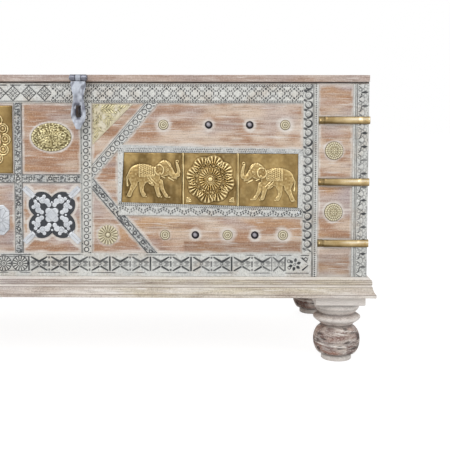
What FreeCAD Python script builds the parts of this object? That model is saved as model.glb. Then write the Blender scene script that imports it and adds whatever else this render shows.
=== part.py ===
"""Arabic dowry chest: a low, wide wooden trunk on turned feet with a carved and brass-mounted front.

Millimetres, +Z up, the front faces -Y and +X is to the right as one stands before it.  The origin is
on the floor under the middle of the whole chest.  The right half is described and the left half is
its mirror image in the plane X = 0.
"""
import FreeCAD, Part
import Sketcher
import math
import os

# Driving sizes of the chest, in millimetres
SIZES = {
    # Carcass
    "chest_width": 1200.0,
    "chest_depth": 400.0,
    "body_height": 331.7,
    "board_thickness": 18.0,
    "floor_thickness": 12.0,
    "block_width": 60.0,
    "block_height": 30.0,
    "batten_width": 20.0,
    # Lid
    "lid_thickness": 10.0,
    "lid_gap": 0.3,
    "lid_overhang": 6.0,
    "cleat_width": 36.0,
    "cleat_height": 14.0,
    "cleat_clearance": 8.0,
    "cleat_place": 300.0,
    # Turned feet
    "foot_height": 108.0,
    "foot_radius": 37.2,
    "foot_block_width": 78.4,
    "foot_block_height": 15.0,
    "tenon_radius": 12.0,
    "tenon_length": 24.0,
    # Plinth moulding
    "plinth_height": 31.0,
    "plinth_reach": 14.0,
    # Carved strips on the front
    "strip_thickness": 3.0,
    "top_reveal": 2.9,
    "top_rail_width": 29.3,
    "bottom_rail_width": 36.4,
    "cross_rail_width": 13.6,
    "centre_panel_width": 110.0,
    "inner_stile_width": 12.5,
    "side_panel_width": 90.0,
    "field_stile_width": 17.0,
    "end_stile_width": 23.0,
    "end_panel_width": 53.0,
    "corner_stile_width": 24.0,
    # Arrow braces of the two long fields
    "arrow_drop": 2.0,
    "brace_run": 102.5,
    "upper_brace_width": 20.0,
    "lower_brace_width": 18.0,
    "brace_mitre": 2.8,
    # Strip round the row of embossed tiles, and the row itself
    "frame_inset": 40.5,
    "tile_inset_top": 50.0,
    "tile_inset_foot": 45.8,
    "tile_end_margin": 7.5,
    "tile_gap": 0.3,
    "sheet_thickness": 1.2,
    # Sheet-metal ornaments of the middle panels
    "panel_side_margin": 2.0,
    "panel_top_margin": 4.3,
    "panel_foot_margin": 1.3,
    "silver_margin": 8.5,
    "silver_height": 47.0,
    "silver_corner": 9.0,
    "medallion_margin": 14.0,
    "medallion_height": 44.0,
    "medallion_crown": 3.0,
    "fret_margin": 0.3,
    "fret_arm_width": 9.0,
    "gusset_side": 63.0,
    "gusset_margin": 1.5,
    "daisy_radius": 16.2,
    "daisy_crown": 2.6,
    "daisy_inset": 24.5,
    "daisy_lift": 28.3,
    "boss_radius": 14.0,
    "boss_crown": 4.0,
    # Nails
    "ring_stud_radius": 7.8,
    "ring_stud_crown": 2.0,
    "dome_nail_radius": 6.0,
    "dome_nail_crown": 3.0,
    "small_nail_radius": 1.8,
    "small_nail_crown": 1.0,
    "shank_radius": 1.1,
    "shank_length": 12.0,
    # Brass corner straps
    "strap_width": 11.4,
    "strap_thickness": 2.0,
    "strap_foot": 6.5,
    "strap_ramp": 4.0,
    "strap_end_gap": 0.3,
    "strap_side_length": 77.0,
    "strap_nail_inset": 3.8,
    # Iron hasps, their eyes on the lid edge and their staples
    "hasp_thickness": 2.4,
    "hasp_length": 78.0,
    "hasp_top_width": 23.0,
    "hasp_neck_width": 15.8,
    "hasp_bulge_width": 23.2,
    "hasp_tip_width": 6.2,
    "hasp_tip_bend": 3.5,
    "hasp_shoulder_gap": 0.6,
    "slot_side_clearance": 2.65,
    "slot_end_clearance": 2.1,
    "slot_drop": 50.9,
    "knuckle_radius": 5.0,
    "knuckle_width": 9.6,
    "knuckle_gap": 0.4,
    "lug_width": 7.0,
    "lug_stem": 4.0,
    "eye_reach": 10.2,
    "eye_plate_thickness": 2.0,
    "eye_plate_margin": 0.5,
    "spike_radius": 1.5,
    "spike_length": 22.0,
    "staple_wire_radius": 1.2,
    "staple_height": 14.0,
    "staple_reach": 11.3,
    "staple_grip": 14.0,
    # Pins of the hasps and of the back hinges
    "pin_radius": 2.0,
    "pin_clearance": 0.05,
    "pin_head_radius": 3.0,
    "pin_head_length": 1.2,
    "pin_end_gap": 0.2,
    # Butt hinges at the back
    "hinge_length": 60.0,
    "hinge_leaf_depth": 16.0,
    "hinge_leaf_thickness": 2.0,
    "hinge_knuckle_radius": 4.0,
    "hinge_clearance": 0.3,
    "hinge_place": 400.0,
    "mortise_clearance": 0.1,
    "screw_head_radius": 3.4,
    "screw_head_height": 1.7,
    "screw_radius": 1.7,
    "screw_length": 7.5,
    # How far a cutter runs past what it cuts
    "overrun": 5.0,
}

# Levels on the front, as shares of the field's height from its foot
ARROW_SHARE = 0.498
UPPER_ROW_SHARE = 0.856
LOWER_ROW_SHARE = 0.123
MEDALLION_SHARE = 0.773
SILVER_SHARE = 0.2197
BOSS_LEVEL_SHARES = (0.687, 0.278)
STRAP_LEVEL_SHARES = (0.888, 0.4795, 0.071)

# Places of studs and nails in a row, as shares of its run from the brace to the end stile
UPPER_STUD_SHARES = (0.147, 0.890)
UPPER_NAIL_SHARES = (0.424, 0.674)
LOWER_STUD_SHARES = (0.141, 0.533, 0.879)
LOWER_NAIL_SHARES = (0.331, 0.703)
BOSS_PLACE_SHARE = 0.466

# Edges of the tile row and of the strip round it at their near and far ends, as shares of the field's
# height above or below the arrow's level
TILE_TOP_SHARES = (0.1754, 0.1676)
TILE_FOOT_SHARES = (-0.1577, -0.1917)
FRAME_TOP_SHARES = (0.2262, 0.1982)
FRAME_FOOT_SHARES = (-0.2434, -0.2520)

# Four-lobed plate: its level and its arms' reach up, as shares of its panel's height, and its lobes'
# radius and offset, as shares of the panel's half width
FRET_LEVEL_SHARE = 0.543
FRET_REACH_SHARE = 0.4126
FRET_LOBE_SHARE = 0.44
FRET_OFFSET_SHARE = 0.36

# Its small nails: at its tips, as a share of its arms' reach, and within, as shares of its lobes' offset
FRET_TIP_SHARE = 0.98
FRET_NAIL_SHARES = ((0.0, 1.21), (-1.33, 0.0), (0.0, -0.07), (1.33, 0.0), (0.0, -1.45))

# Where the tiles meet, as shares of their row
TILE_JOINT_SHARES = (0.0, 0.339, 0.654, 1.0)

# Moulding from its lower back edge, as shares of its reach and height: lip, cove, groove and bead
PLINTH_PROFILE_SHARES = (
    (0.0, 0.0), (1.0, 0.0), (1.0, 0.14), (0.92, 0.19), (0.64, 0.53), (0.50, 0.56),
    (0.50, 0.60), (0.60, 0.62), (0.60, 0.80), (0.20, 1.0), (0.0, 1.0),
)
PLINTH_ARC_SHARES = {4: -0.60, 9: 0.45}

# Turned profile from the floor up, as shares of the largest radius and of the turned height
FOOT_PROFILE_SHARES = (
    (0.0, 0.0), (0.62, 0.0), (0.59, 0.115), (0.635, 0.587), (0.635, 0.615), (0.82, 0.652),
    (0.845, 0.808), (0.95, 0.882), (0.97, 1.0), (0.0, 1.0),
)
FOOT_ARC_SHARES = {2: 0.064, 3: 0.260, 6: 0.0804}

# Levels of the hasp's outline below its pivot, as shares of its length
HASP_TOP_SHARE = 0.17
HASP_NECK_SHARE = 0.36
HASP_BULGE_SHARE = 0.69
HASP_BEND_SHARE = 0.78

# Hinge shares: one knuckle of its length, and its screws from the middle
KNUCKLE_SHARE = 1.0 / 3.0
SCREW_SHARES = (-0.38, 0.0, 0.38)


class Length:
    """A length that carries both its value and the spreadsheet expression that gives it."""

    def __init__(self, text, value):
        self.text = text
        self.value = value

    def joined(self, sign, other, reverse=False):
        """Join two lengths, or a length and a plain factor, by one sign."""
        left, right = (length_of(other), self) if reverse else (self, length_of(other))
        value = {
            "+": lambda: left.value + right.value,
            "-": lambda: left.value - right.value,
            "*": lambda: left.value * right.value,
            "/": lambda: left.value / right.value,
        }[sign]()
        return Length(f"({left.text} {sign} {right.text})", value)

    def __add__(self, other):
        return self.joined("+", other)

    def __sub__(self, other):
        return self.joined("-", other)

    def __mul__(self, other):
        return self.joined("*", other)

    def __truediv__(self, other):
        return self.joined("/", other)

    def __neg__(self):
        return self.joined("-", ZERO, reverse=True)


ZERO = Length("0", 0.0)


def length_of(item):
    """Give a plain number the form of a length."""
    return item if isinstance(item, Length) else Length(repr(float(item)), float(item))


class SizeTable:
    """The spreadsheet of driving sizes, read by name."""

    def __init__(self, document, sizes):
        self.values = dict(sizes)
        self.sheet = document.addObject("Spreadsheet::Sheet", "Sizes")
        for row, (alias, value) in enumerate(sizes.items(), start=1):
            self.sheet.set(f"A{row}", alias.replace("_", " "))
            self.sheet.set(f"B{row}", repr(value))
            self.sheet.setAlias(f"B{row}", alias)

    def __getattr__(self, alias):
        return Length(f"Sizes.{alias}", self.values[alias])


doc = FreeCAD.newDocument("dowry_chest")
size = SizeTable(doc, SIZES)
doc.recompute()

X_AXIS = FreeCAD.Vector(1, 0, 0)
Y_AXIS = FreeCAD.Vector(0, 1, 0)
Z_AXIS = FreeCAD.Vector(0, 0, 1)

# Turns that send an object's own upright axis, or its front, another way
UPRIGHT = FreeCAD.Rotation()
TO_FRONT = FreeCAD.Rotation(X_AXIS, 90)
TO_REAR = FreeCAD.Rotation(X_AXIS, -90)
TO_RIGHT = FreeCAD.Rotation(Y_AXIS, 90)
FACE_RIGHT = FreeCAD.Rotation(Z_AXIS, 90)
FACE_LEFT = FreeCAD.Rotation(Z_AXIS, -90)
STAPLE_TURN = FreeCAD.Rotation(Z_AXIS, -Y_AXIS, X_AXIS, "XYZ")


def new_object(kind, name):
    """Add an object to the document under a label of its own."""
    item = doc.addObject(kind, name)
    item.Label = name
    return item


def bind(item, **properties):
    """Tie properties of an object to the spreadsheet."""
    for name, length in properties.items():
        item.setExpression(name, length_of(length).text)
    return item


def place(item, x=ZERO, y=ZERO, z=ZERO, turn=UPRIGHT):
    """Put an object at a place that the spreadsheet gives."""
    item.Placement = FreeCAD.Placement(FreeCAD.Vector(x.value, y.value, z.value), turn)
    for axis, length in (("x", x), ("y", y), ("z", z)):
        item.setExpression(f"Placement.Base.{axis}", length.text)
    return item


def box(name, x, y, z):
    """Make a box from its low and high ends along X, Y and Z."""
    item = new_object("Part::Box", name)
    bind(item, Length=x[1] - x[0], Width=y[1] - y[0], Height=z[1] - z[0])
    return place(item, x[0], y[0], z[0])


def cylinder(name, radius, length, x=ZERO, y=ZERO, z=ZERO, turn=UPRIGHT):
    """Make a cylinder that starts at a place and runs along its turned axis."""
    item = new_object("Part::Cylinder", name)
    bind(item, Radius=radius, Height=length)
    return place(item, x, y, z, turn)


def cone(name, low_radius, high_radius, height, x, y, z):
    """Make an upright cone from its lower end."""
    item = new_object("Part::Cone", name)
    bind(item, Radius1=low_radius, Radius2=high_radius, Height=height)
    return place(item, x, y, z)


def dome(name, half_width, half_height, crown, x=ZERO, y=ZERO, z=ZERO):
    """Make half an ellipsoid that stands out to the front from a plane."""
    item = new_object("Part::Ellipsoid", name)
    item.Angle1 = 0
    item.Angle2 = 90
    bind(item, Radius1=crown, Radius2=half_width, Radius3=half_height)
    return place(item, x, y, z, TO_FRONT)


def fuse(name, *items):
    """Join overlapping shapes into one solid."""
    item = new_object("Part::MultiFuse", name)
    item.Shapes = list(items)
    item.Refine = True
    return item


def group(name, *items):
    """Hold separate solids together as one sub-part."""
    item = new_object("Part::Compound", name)
    item.Links = list(items)
    return item


def cut(name, base, *tools):
    """Take one or more shapes out of a base."""
    item = new_object("Part::Cut", name)
    item.Base = base
    item.Tool = tools[0] if len(tools) == 1 else group(name + "_cutters", *tools)
    return item


def common(name, first, second):
    """Keep what two shapes share."""
    item = new_object("Part::Common", name)
    item.Base = first
    item.Tool = second
    return item


def mirrored(name, source, normal=X_AXIS, y=ZERO):
    """Make the twin of a piece on the other side of the middle, or at the other end of the depth."""
    item = new_object("Part::Mirroring", name)
    item.Source = source
    item.Normal = normal
    item.Base = FreeCAD.Vector(0, y.value, 0)
    item.setExpression("Base.y", y.text)
    return item


def pair(name, right):
    """Hold a right-hand solid and its left-hand twin as one sub-part."""
    return group(name, right, mirrored(right.Name + "_twin", right))


def copies(name, master, places):
    """Repeat a master solid at places that each hold x, y, z and a turn."""
    links = []
    for number, (x, y, z, turn) in enumerate(places, start=1):
        link = new_object("App::Link", f"{name}_copy_{number}")
        link.LinkedObject = master
        links.append(place(link, x, y, z, turn))
    return group(name, *links)


def arc_edge(start, end, radius):
    """Draw a minor arc that bulges to the right of the way for a positive radius."""
    chord = end - start
    half = chord.Length / 2
    right = FreeCAD.Vector(chord.y, -chord.x, 0).normalize()
    side = 1 if radius > 0 else -1
    centre = start + chord * 0.5 - right * side * math.sqrt(max(radius * radius - half * half, 0.0))
    first, last = (start, end) if radius > 0 else (end, start)
    angles = [math.atan2(point.y - centre.y, point.x - centre.x) for point in (first, last)]
    if angles[1] < angles[0]:
        angles[1] += 2 * math.pi
    return Part.ArcOfCircle(Part.Circle(centre, Z_AXIS, abs(radius)), *angles)


def edge_end(sketch, index, point):
    """Say which end of a drawn edge lies at a point: 1 is its start and 2 its end."""
    edge = sketch.Geometry[index]
    return 1 if (edge.StartPoint - point).Length < (edge.EndPoint - point).Length else 2


def outline_sketch(body, name, role, points, bends):
    """Draw a closed outline; bends gives the radius of the arc that ends at a corner, by its index."""
    plane = next(item for item in body.Origin.OriginFeatures if item.Role == role)
    sketch = body.newObject("Sketcher::SketchObject", name)
    sketch.AttachmentSupport = (plane, [""])
    sketch.MapMode = "FlatFace"
    corners = [FreeCAD.Vector(x.value, y.value, 0) for x, y in points]
    count = len(points)
    for index in range(count):
        start, end = corners[index - 1], corners[index]
        if index in bends:
            sketch.addGeometry(arc_edge(start, end, bends[index].value))
        else:
            sketch.addGeometry(Part.LineSegment(start, end))
    for index, corner in enumerate(corners):
        following = (index + 1) % count
        ends = edge_end(sketch, index, corner), edge_end(sketch, following, corner)
        sketch.addConstraint(Sketcher.Constraint("Coincident", index, ends[0], following, ends[1]))
        for kind, length in zip(("DistanceX", "DistanceY"), points[index]):
            number = sketch.addConstraint(Sketcher.Constraint(kind, index, ends[0], length.value))
            sketch.setExpression(f"Constraints[{number}]", length.text)
    for index, bend in bends.items():
        number = sketch.addConstraint(Sketcher.Constraint("Radius", index, abs(bend.value)))
        sketch.setExpression(f"Constraints[{number}]", f"abs({bend.text})")
    return sketch


def padded(name, role, points, thickness, x=ZERO, y=ZERO, z=ZERO, bends=()):
    """Pad a closed outline on one of the origin planes into a plate."""
    body = new_object("PartDesign::Body", name)
    sketch = outline_sketch(body, name + "_outline", role, points, dict(bends))
    pad = body.newObject("PartDesign::Pad", name + "_pad")
    pad.Profile = sketch
    bind(pad, Length=thickness)
    return place(body, x, y, z)


def revolved(name, points, bends, x, y, z):
    """Turn a closed outline about the upright axis of its own body."""
    body = new_object("PartDesign::Body", name)
    sketch = outline_sketch(body, name + "_outline", "XZ_Plane", points, bends)
    turning = body.newObject("PartDesign::Revolution", name + "_turning")
    turning.Profile = sketch
    turning.ReferenceAxis = (sketch, ["V_Axis"])
    turning.Angle = 360
    return place(body, x, y, z)


# Levels and planes that several pieces share
half_width = size.chest_width / 2
base_level = size.foot_height
body_top = base_level + size.body_height
lid_level = body_top + size.lid_gap
lid_top = lid_level + size.lid_thickness
plinth_top = base_level + size.plinth_height
floor_level = base_level + size.block_height
front_reach = size.lid_overhang + size.eye_reach + size.knuckle_radius
middle_y = (front_reach - size.plinth_reach) / 2
front_y = middle_y - size.chest_depth / 2
rear_y = middle_y + size.chest_depth / 2
strip_y = front_y - size.strip_thickness
lid_front_y = front_y - size.lid_overhang
inner_x = half_width - size.board_thickness
inner_front_y = front_y + size.board_thickness
inner_rear_y = rear_y - size.board_thickness
foot_x = half_width - size.foot_block_width / 2
foot_y = front_y + size.foot_block_width / 2

# Lines of the carved front, to the right of the middle
inner_stile_x = size.centre_panel_width / 2
side_panel_x = inner_stile_x + size.inner_stile_width
field_stile_x = side_panel_x + size.side_panel_width
field_x = field_stile_x + size.field_stile_width
corner_stile_x = half_width - size.corner_stile_width
end_panel_x = corner_stile_x - size.end_panel_width
end_stile_x = end_panel_x - size.end_stile_width
rail_top = body_top - size.top_reveal
field_top = rail_top - size.top_rail_width
field_foot = plinth_top + size.bottom_rail_width
field_height = field_top - field_foot
arrow_level = field_foot + field_height * ARROW_SHARE
cross_top = arrow_level + size.cross_rail_width / 2
cross_foot = arrow_level - size.cross_rail_width / 2
board_faces = (strip_y, front_y)

# Outer edges of the arrow's two braces, which rise and fall from its point
tip_level = arrow_level - size.arrow_drop
brace_x = field_x + size.brace_run
upper_slope = (field_top - tip_level) / size.brace_run
mitre_x = field_x + size.brace_mitre
mitre_level = tip_level + upper_slope * size.brace_mitre
lower_slope = (mitre_level - field_foot) / (brace_x - mitre_x)

# Pivots of the hasps and of the back hinges
hasp_x = field_stile_x
hasp_y = lid_front_y - size.eye_reach
hasp_level = lid_level + size.lid_thickness / 2
bore_radius = size.pin_radius + size.pin_clearance
hinge_y = rear_y + size.hinge_clearance + size.hinge_knuckle_radius
hinge_level = body_top + size.lid_gap / 2


# Nails, studs and domed ornaments that stand on the front
def nail(name, head_radius, crown):
    """Make a nail that faces the front: a low domed head on a round shank."""
    head = dome(name + "_head", head_radius, head_radius, crown)
    shank = cylinder(name + "_shank", size.shank_radius, size.shank_length, turn=TO_REAR)
    return fuse(name, head, shank)


def on_both_sides(places):
    """Repeat forward-facing places of the right half on the left half."""
    return [(sign(x), y, z, UPRIGHT) for sign in (length_of, Length.__neg__) for x, y, z in places]


def brace_edge(level):
    """Find where the arrow's outer edge stands at a level above or below its point."""
    if level.value > mitre_level.value:
        return field_x + (level - tip_level) / upper_slope
    return mitre_x + (mitre_level - level) / lower_slope


def row_places(shares, level_share):
    """Give the places of one row of nails, from the brace to the end stile."""
    level = field_foot + field_height * level_share
    start_x = brace_edge(level)
    return [(start_x + (end_stile_x - start_x) * share, front_y, level) for share in shares]


ring_studs = copies(
    "ring_studs",
    nail("ring_stud", size.ring_stud_radius, size.ring_stud_crown),
    on_both_sides(
        row_places(UPPER_STUD_SHARES, UPPER_ROW_SHARE) + row_places(LOWER_STUD_SHARES, LOWER_ROW_SHARE)
    ),
)
dome_nails = copies(
    "dome_nails",
    nail("dome_nail", size.dome_nail_radius, size.dome_nail_crown),
    on_both_sides(
        row_places(UPPER_NAIL_SHARES, UPPER_ROW_SHARE) + row_places(LOWER_NAIL_SHARES, LOWER_ROW_SHARE)
    ),
)
boss_x = end_panel_x + size.end_panel_width * BOSS_PLACE_SHARE
round_bosses = copies(
    "round_bosses",
    nail("round_boss", size.boss_radius, size.boss_crown),
    on_both_sides([(boss_x, front_y, field_foot + field_height * share) for share in BOSS_LEVEL_SHARES]),
)
daisy_rosettes = copies(
    "daisy_rosettes",
    nail("daisy_rosette", size.daisy_radius, size.daisy_crown),
    on_both_sides([(field_x + size.daisy_inset, front_y, field_foot + size.daisy_lift)]),
)

# Brass straps that wrap the front corners, each held by three small nails
small_nail = nail("small_nail", size.small_nail_radius, size.small_nail_crown)
strap_x = end_panel_x + size.strap_end_gap
strap_step_x = strap_x + size.strap_foot
strap_rise_x = strap_step_x + size.strap_ramp
strap_end_y = strip_y + size.strap_side_length
strap_outline = [
    (strap_x, front_y - size.strap_thickness),
    (strap_step_x, front_y - size.strap_thickness),
    (strap_rise_x, strip_y - size.strap_thickness),
    (half_width, strip_y - size.strap_thickness),
    (half_width + size.strap_thickness, strip_y),
    (half_width + size.strap_thickness, strap_end_y),
    (half_width, strap_end_y),
    (half_width, strip_y),
    (strap_rise_x, strip_y),
    (strap_step_x, front_y),
    (strap_x, front_y),
]
strap_blank = padded(
    "strap_blank", "XY_Plane", strap_outline, size.strap_width,
    z=-(size.strap_width / 2), bends={4: size.strap_thickness},
)
strap_nail_places = [
    (strap_x + size.strap_foot / 2, front_y - size.strap_thickness, ZERO, UPRIGHT),
    (half_width - size.strap_nail_inset, strip_y - size.strap_thickness, ZERO, UPRIGHT),
    (half_width + size.strap_thickness, strap_end_y - size.strap_nail_inset, ZERO, FACE_RIGHT),
]
strap = cut("strap", strap_blank, copies("strap_holes", small_nail, strap_nail_places))
strap_levels = [field_foot + field_height * share for share in STRAP_LEVEL_SHARES]
brass_straps_right = copies(
    "brass_straps_right", strap, [(ZERO, ZERO, level, UPRIGHT) for level in strap_levels]
)
brass_straps_left = mirrored("brass_straps_left", brass_straps_right)
strap_nails = copies(
    "strap_nails",
    small_nail,
    [(x, y, level, turn) for level in strap_levels for x, y, z, turn in strap_nail_places]
    + [
        (-x, y, level, FACE_LEFT if turn == FACE_RIGHT else UPRIGHT)
        for level in strap_levels
        for x, y, z, turn in strap_nail_places
    ],
)

# Four-lobed plates of the lower side panels, on two crossed arms each, with their small nails
fret_x = (side_panel_x + field_stile_x) / 2
lower_panel_height = cross_foot - field_foot
fret_level = field_foot + lower_panel_height * FRET_LEVEL_SHARE
arm_half = size.fret_arm_width / (2 * math.sqrt(2))
reach_across = size.side_panel_width / 2 - size.fret_margin - arm_half
reach_up = lower_panel_height * FRET_REACH_SHARE - arm_half
lobe_offset = size.side_panel_width / 2 * FRET_OFFSET_SHARE
corners = ((1, 1), (-1, 1), (-1, -1), (1, -1))
fret_pieces = [
    cylinder(
        f"fret_lobe_{number}", size.side_panel_width / 2 * FRET_LOBE_SHARE, size.sheet_thickness,
        fret_x + lobe_offset * across, front_y, fret_level + lobe_offset * up, TO_FRONT,
    )
    for number, (across, up) in enumerate(corners, start=1)
]
for number, side in enumerate((1, -1), start=1):
    arm_outline = [
        ((-reach_across - arm_half) * side, -reach_up + arm_half),
        ((-reach_across + arm_half) * side, -reach_up - arm_half),
        ((reach_across + arm_half) * side, reach_up - arm_half),
        ((reach_across - arm_half) * side, reach_up + arm_half),
    ]
    fret_pieces.append(
        padded(f"fret_arm_{number}", "XZ_Plane", arm_outline, size.sheet_thickness, fret_x, front_y, fret_level)
    )
fret_blank = fuse("fret_blank", *fret_pieces)
plate_face_y = front_y - size.sheet_thickness
small_nail_places = [
    (fret_x + reach_across * FRET_TIP_SHARE * across, plate_face_y, fret_level + reach_up * FRET_TIP_SHARE * up)
    for across, up in corners
]
small_nail_places += [
    (fret_x + lobe_offset * across, plate_face_y, fret_level + lobe_offset * up)
    for across, up in FRET_NAIL_SHARES
]
small_nail_places.append((
    end_stile_x - size.tile_end_margin + size.small_nail_radius,
    strip_y,
    arrow_level + field_height * (TILE_FOOT_SHARES[1] + FRAME_FOOT_SHARES[1]) / 2,
))
small_nails = copies("small_nails", small_nail, on_both_sides(small_nail_places))
fret_plates = cut("fret_plates", pair("fret_blanks", fret_blank), small_nails)

# Other sheet-metal ornaments
centre_brass_panel = box(
    "centre_brass_panel",
    (-(inner_stile_x - size.panel_side_margin), inner_stile_x - size.panel_side_margin),
    (plate_face_y, front_y),
    (cross_top + size.panel_foot_margin, field_top - size.panel_top_margin),
)
silver_half = inner_stile_x - size.silver_margin
silver_foot = field_foot + field_height * SILVER_SHARE - size.silver_height / 2
silver_top = silver_foot + size.silver_height
silver_outline = [
    (-silver_half + size.silver_corner, silver_foot), (silver_half - size.silver_corner, silver_foot),
    (silver_half, silver_foot + size.silver_corner), (silver_half, silver_top - size.silver_corner),
    (silver_half - size.silver_corner, silver_top), (-silver_half + size.silver_corner, silver_top),
    (-silver_half, silver_top - size.silver_corner), (-silver_half, silver_foot + size.silver_corner),
]
centre_silver_plate = padded(
    "centre_silver_plate", "XZ_Plane", silver_outline, size.sheet_thickness, y=front_y
)
oval_medallions = pair(
    "oval_medallions",
    dome(
        "oval_medallion", size.side_panel_width / 2 - size.medallion_margin, size.medallion_height / 2,
        size.medallion_crown, fret_x, front_y, field_foot + field_height * MEDALLION_SHARE,
    ),
)
gusset_x = field_x + size.gusset_margin
gusset_top = field_top - size.gusset_margin
gusset_outline = [
    (gusset_x, gusset_top - size.gusset_side),
    (gusset_x + size.gusset_side, gusset_top),
    (gusset_x, gusset_top),
]
corner_gussets = pair(
    "corner_gussets",
    padded("corner_gusset", "XZ_Plane", gusset_outline, size.sheet_thickness, y=front_y),
)

# Arrow braces, whose outer edges meet at the arrow's point
upper_brace_outline = [
    (field_x, tip_level),
    (brace_x, field_top),
    (brace_x - size.upper_brace_width, field_top),
    (field_x, tip_level + upper_slope * size.upper_brace_width),
]
lower_brace_outline = [
    (field_x, tip_level),
    (field_x, mitre_level + lower_slope * (size.brace_mitre - size.lower_brace_width)),
    (brace_x - size.lower_brace_width, field_foot),
    (brace_x, field_foot),
    (mitre_x, mitre_level),
]
upper_brace_right = padded(
    "upper_brace_right", "XZ_Plane", upper_brace_outline, size.strip_thickness, y=front_y
)
lower_brace_right = padded(
    "lower_brace_right", "XZ_Plane", lower_brace_outline, size.strip_thickness, y=front_y
)
upper_brace_left = mirrored("upper_brace_left", upper_brace_right)
lower_brace_left = mirrored("lower_brace_left", lower_brace_right)


# Row of three embossed tiles, which narrows towards the arrow's point, and the strip round it
def tile_point(share, top, gap=ZERO):
    """Give a point of the tile row's upper or lower edge, at a share of its length."""
    near, far = TILE_TOP_SHARES if top else TILE_FOOT_SHARES
    start_x = field_x + (size.tile_inset_top if top else size.tile_inset_foot)
    run = end_stile_x - size.tile_end_margin - start_x
    along = run * share + gap
    return start_x + along, arrow_level + field_height * near + field_height * (far - near) * along / run


def tile_outline(start, end, gap):
    """Draw the outline of one tile, or of the whole row, between two shares of its length."""
    return [
        tile_point(start, False, gap), tile_point(end, False, -gap),
        tile_point(end, True, -gap), tile_point(start, True, gap),
    ]


def frame_corner(shares, slope, through_x, through_level):
    """Find where the frame's upper or lower edge meets the edge of a brace."""
    near, far = (arrow_level + field_height * share for share in shares)
    frame_slope = (far - near) / (end_stile_x - frame_x)
    x = (near - through_level + slope * through_x - frame_slope * frame_x) / (slope - frame_slope)
    return x, near + frame_slope * (x - frame_x)


frame_x = field_x + size.frame_inset
frame_outline = [
    (frame_x, mitre_level - lower_slope * (frame_x - mitre_x)),
    frame_corner(FRAME_FOOT_SHARES, -lower_slope, mitre_x, mitre_level),
    (end_stile_x, arrow_level + field_height * FRAME_FOOT_SHARES[1]),
    (end_stile_x, arrow_level + field_height * FRAME_TOP_SHARES[1]),
    frame_corner(FRAME_TOP_SHARES, upper_slope, field_x, tip_level),
    (frame_x, tip_level + upper_slope * (frame_x - field_x)),
]
frame_blank = padded("frame_blank", "XZ_Plane", frame_outline, size.strip_thickness, y=front_y)
tile_space = padded(
    "tile_space", "XZ_Plane", tile_outline(0.0, 1.0, ZERO),
    size.strip_thickness + size.overrun * 2, y=front_y + size.overrun,
)
tile_frame_right = cut("tile_frame_right", cut("tile_frame_ring", frame_blank, tile_space), small_nails)
tile_frame_left = mirrored("tile_frame_left", tile_frame_right)
brass_tiles_right = group(
    "brass_tiles_right",
    *[
        padded(
            f"brass_tile_{number}", "XZ_Plane", tile_outline(start, end, size.tile_gap / 2),
            size.sheet_thickness, y=front_y,
        )
        for number, (start, end) in enumerate(zip(TILE_JOINT_SHARES, TILE_JOINT_SHARES[1:]), start=1)
    ],
)
brass_tiles_left = mirrored("brass_tiles_left", brass_tiles_right)

# Staples that the hasps close over, driven through the front
staple_level = hasp_level - size.slot_drop
staple_bend = size.staple_height / 2 - size.staple_wire_radius
staple_y = strip_y - size.staple_reach + size.staple_height / 2
staple_crown = new_object("Part::Torus", "staple_crown")
staple_crown.Angle3 = 180
bind(staple_crown, Radius1=staple_bend, Radius2=size.staple_wire_radius)
place(staple_crown, hasp_x, staple_y, staple_level, STAPLE_TURN)
staple_legs = [
    cylinder(
        f"staple_leg_{number}", size.staple_wire_radius, front_y + size.staple_grip - staple_y,
        hasp_x, staple_y, staple_level + staple_bend * side, TO_REAR,
    )
    for number, side in enumerate((1, -1), start=1)
]
staples = pair("staples", fuse("staple", staple_crown, *staple_legs))

# Carved rails and stiles of the front
top_rail = box("top_rail", (-end_stile_x, end_stile_x), board_faces, (field_top, rail_top))
bottom_rail = box("bottom_rail", (-end_panel_x, end_panel_x), board_faces, (plinth_top, field_foot))
inner_stile_right = box(
    "inner_stile_right", (inner_stile_x, side_panel_x), board_faces, (field_foot, field_top)
)
inner_stile_left = mirrored("inner_stile_left", inner_stile_right)
field_stile_right = cut(
    "field_stile_right",
    box("field_stile_blank", (field_stile_x, field_x), board_faces, (field_foot, field_top)),
    staples,
)
field_stile_left = mirrored("field_stile_left", field_stile_right)
end_stile_right = box("end_stile_right", (end_stile_x, end_panel_x), board_faces, (field_foot, rail_top))
end_stile_left = mirrored("end_stile_left", end_stile_right)
corner_stile_right = cut(
    "corner_stile_right",
    box("corner_stile_blank", (corner_stile_x, half_width), board_faces, (plinth_top, rail_top)),
    strap_nails,
)
corner_stile_left = mirrored("corner_stile_left", corner_stile_right)
side_cross_rail = box(
    "side_cross_rail", (side_panel_x, field_stile_x), board_faces, (cross_foot, cross_top)
)
cross_rails = group(
    "cross_rails",
    box("centre_cross_rail", (-inner_stile_x, inner_stile_x), board_faces, (cross_foot, cross_top)),
    side_cross_rail,
    mirrored("side_cross_rail_twin", side_cross_rail),
)

# Turned feet, each from one square blank with a round tenon on top
turned_height = size.foot_height - size.foot_block_height
foot_profile = [
    (size.foot_radius * across, turned_height * up) for across, up in FOOT_PROFILE_SHARES
]
foot_arcs = {index: turned_height * share for index, share in FOOT_ARC_SHARES.items()}
foot_half = size.foot_block_width / 2
foot_front_right = fuse(
    "foot_front_right",
    revolved("foot_turning", foot_profile, foot_arcs, foot_x, foot_y, ZERO),
    box(
        "foot_block", (foot_x - foot_half, foot_x + foot_half),
        (foot_y - foot_half, foot_y + foot_half), (turned_height, base_level),
    ),
    cylinder("foot_tenon", size.tenon_radius, size.tenon_length, foot_x, foot_y, base_level),
)
foot_front_left = mirrored("foot_front_left", foot_front_right)
foot_rear_right = mirrored("foot_rear_right", foot_front_right, Y_AXIS, middle_y)
foot_rear_left = mirrored("foot_rear_left", foot_rear_right)

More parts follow.
